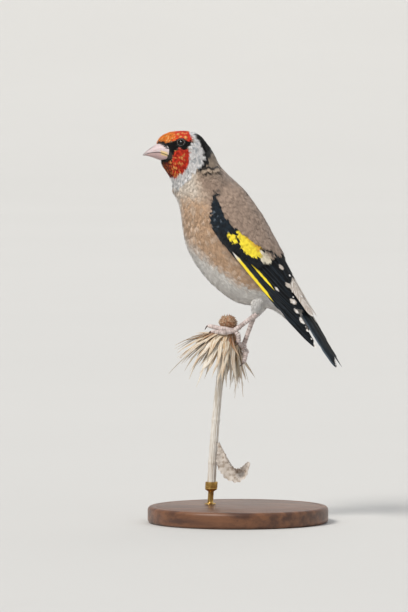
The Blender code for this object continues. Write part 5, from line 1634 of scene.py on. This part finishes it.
# The dead leaf: papery, crumpled and curled along its rib, grown from a node of the stalk, from
# which it hangs down and turns up again at its tip.
LEAF_POINTS = ((-8.5, -0.4, 33.5), (-6.6, -0.9, 29.8), (-4.2, -1.4, 25.6), (-0.6, -1.2, 21.6),
               (2.8, -0.4, 21.4), (4.9, 0.6, 25.4))
LEAF_HALF_WIDTH = (0.9, 1.7, 3.7, 3.5, 2.1, 0.6)
LEAF_THICK = 0.3
LEAF_BROWN = paint(138, 122, 106)
LEAF_PALE = paint(204, 196, 188)
VEIN_PALE = paint(206, 196, 182)
leaf_finish = Finish("dead_leaf")
crumple = leaf_finish.noise(1.6, 5.0)
veins = leaf_finish.noise(0.5, 4.0)
leaf_colour = leaf_finish.mix(crumple.ramp(0.25, 0.6), LEAF_BROWN, LEAF_PALE)
leaf_colour = leaf_finish.mix(veins.ramp(0.55, 0.75) * 0.5, leaf_colour, VEIN_PALE)
leaf_finish.surface(leaf_colour, 0.85, Normal=leaf_finish.bump(veins, 0.05, leaf_finish.bump(crumple, 0.14)),
                    Specular_IOR_Level=0.2)
rows, cols = 57, 25
s = np.linspace(0, len(LEAF_POINTS) - 1, rows)
path = smooth(s, LEAF_POINTS)
half = smooth(s, LEAF_HALF_WIDTH)
along = unit(np.gradient(path, axis=0))
across = unit(np.cross(along, (0.25, 1.0, 0.35)))
normal = np.cross(along, across)
x = np.linspace(-1, 1, cols)
wave = (0.4 * np.sin(s * 3.1 + 0.6)[:, None] * x[None] + 0.22 * np.sin(s[:, None] * 4.3 + x[None] * 3.0)
        + 0.04 * np.cos(s[:, None] * 12.7 - x[None] * 5.9))
ragged = 1 + (0.10 * np.sin(s * 9.7) + 0.13 * np.sin(s * 21.3 + 1.0) + 0.07 * np.sin(s * 47.9))[:, None] * (
    np.abs(x) ** 6)[None] * 0.6
rise = 0.9 * half[:, None] * np.abs(x[None]) ** 1.5 + wave * np.interp(half, (0.6, 2), (0.2, 1))[:, None]
top = (path[:, None] + across[:, None] * (half[:, None] * x[None] * ragged)[..., None]
       + normal[:, None] * rise[..., None])
leaf = shown("thistle_leaf", sheet(top, normal[:, None] * LEAF_THICK), slab_faces(rows, cols),
             leaf_finish, 60)
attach(leaf, "root")
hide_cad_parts("perch_leaf")

# The display stand's base: a disc of dark wood, turned on a lathe with a softly rounded rim and a
# shallow groove, and oiled to a satin shine.
BASE_PROFILE = ((36.4, 0), (37.1, 0.15), (37.75, 0.6), (38, 1.3), (38, 5.5), (37.8, 6.2), (37.3, 6.75),
                (36.6, 7.0), (35.2, 7.0), (34.9, 6.85), (34.4, 6.85), (34.1, 7.0), (5.0, 7.0))
CORNER = 0.12
WOOD_DARK = paint(74, 44, 28)
WOOD_LIGHT = paint(118, 76, 48)
wood = Finish("turned_wood")
rings_of_growth = wood.noise(3.2, 3.0, (0.10, 1.0, 1.0))
pores = wood.noise(0.5, 3.0, (0.06, 1.0, 1.0))
wood_colour = wood.mix(rings_of_growth.ramp(0.3, 0.7), WOOD_DARK, WOOD_LIGHT)
wood_colour = wood.mix(pores.ramp(0.58, 0.75) * 0.6, wood_colour, WOOD_DARK * 0.5)
wood.surface(wood_colour, pores.ramp(0.3, 0.7, 0.36, 0.5), Normal=wood.bump(pores, 0.03), Coat_Weight=0.15,
             Coat_Roughness=0.3)


def turned_piece(name, profile, finish, node, sides=128, foot=(0.0, 0.0), lean=0.0):
    """A piece turned on a lathe from (radius, height) pairs, whose sharp corners are eased."""
    eased_profile = []
    for k, (radius, height) in enumerate(profile):
        here = np.array((radius, height), float)
        if 0 < k < len(profile) - 1:
            for other in (profile[k - 1], profile[k + 1]):
                away = np.array(other, float) - here
                eased_profile.append(here + away * min(CORNER / max(np.linalg.norm(away), 0.01), 0.4))
        else:
            eased_profile.append(here)
    rings = np.array([[(foot[0] + lean * h + r * math.cos(a), r * math.sin(a), foot[1] + h)
                       for a in turns_of(sides)] for r, h in eased_profile])
    made = shown(name, *capped(rings, True), finish, 35)
    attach(made, "root")
    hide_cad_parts(node)


turned_piece("turned_base", BASE_PROFILE, wood, "stand_base")

# The rod: short turned brass with a foot flange that stands on the base, ending in a cup in which
# the stalk's cut end sits. It leans with the stalk.
ROD_PROFILE = ((2.4, 0), (2.4, 0.35), (2.2, 0.5), (1.5, 0.55), (1.2, 0.85), (1.2, 5.4), (1.45, 5.6),
               (2.35, 6.1), (2.6, 6.5), (2.6, 6.9), (2.5, 7.05), (2.6, 7.2), (2.6, 9.2), (2.5, 9.5),
               (2.15, 9.5), (2.1, 9.3), (2.1, 7.15))
ROD_FOOT = (-12.585, 7.3)
ROD_LEAN = 1.2 / 18.3
BRASS_BRIGHT = paint(196, 160, 92)
BRASS_DULL = paint(150, 112, 58)
brass = Finish("satin_brass")
lathe_lines = brass.noise(0.25, 2.0, (0.1, 0.1, 1.0))
tarnish = brass.noise(2.5, 3.0)
brass.surface(brass.mix(tarnish.ramp(0.4, 0.75), BRASS_BRIGHT, BRASS_DULL),
              tarnish.ramp(0.3, 0.7, 0.28, 0.42), Metallic=1.0, Normal=brass.bump(lathe_lines, 0.015))
turned_piece("brass_rod", ROD_PROFILE, brass, "stand_rod", 64, ROD_FOOT, ROD_LEAN)
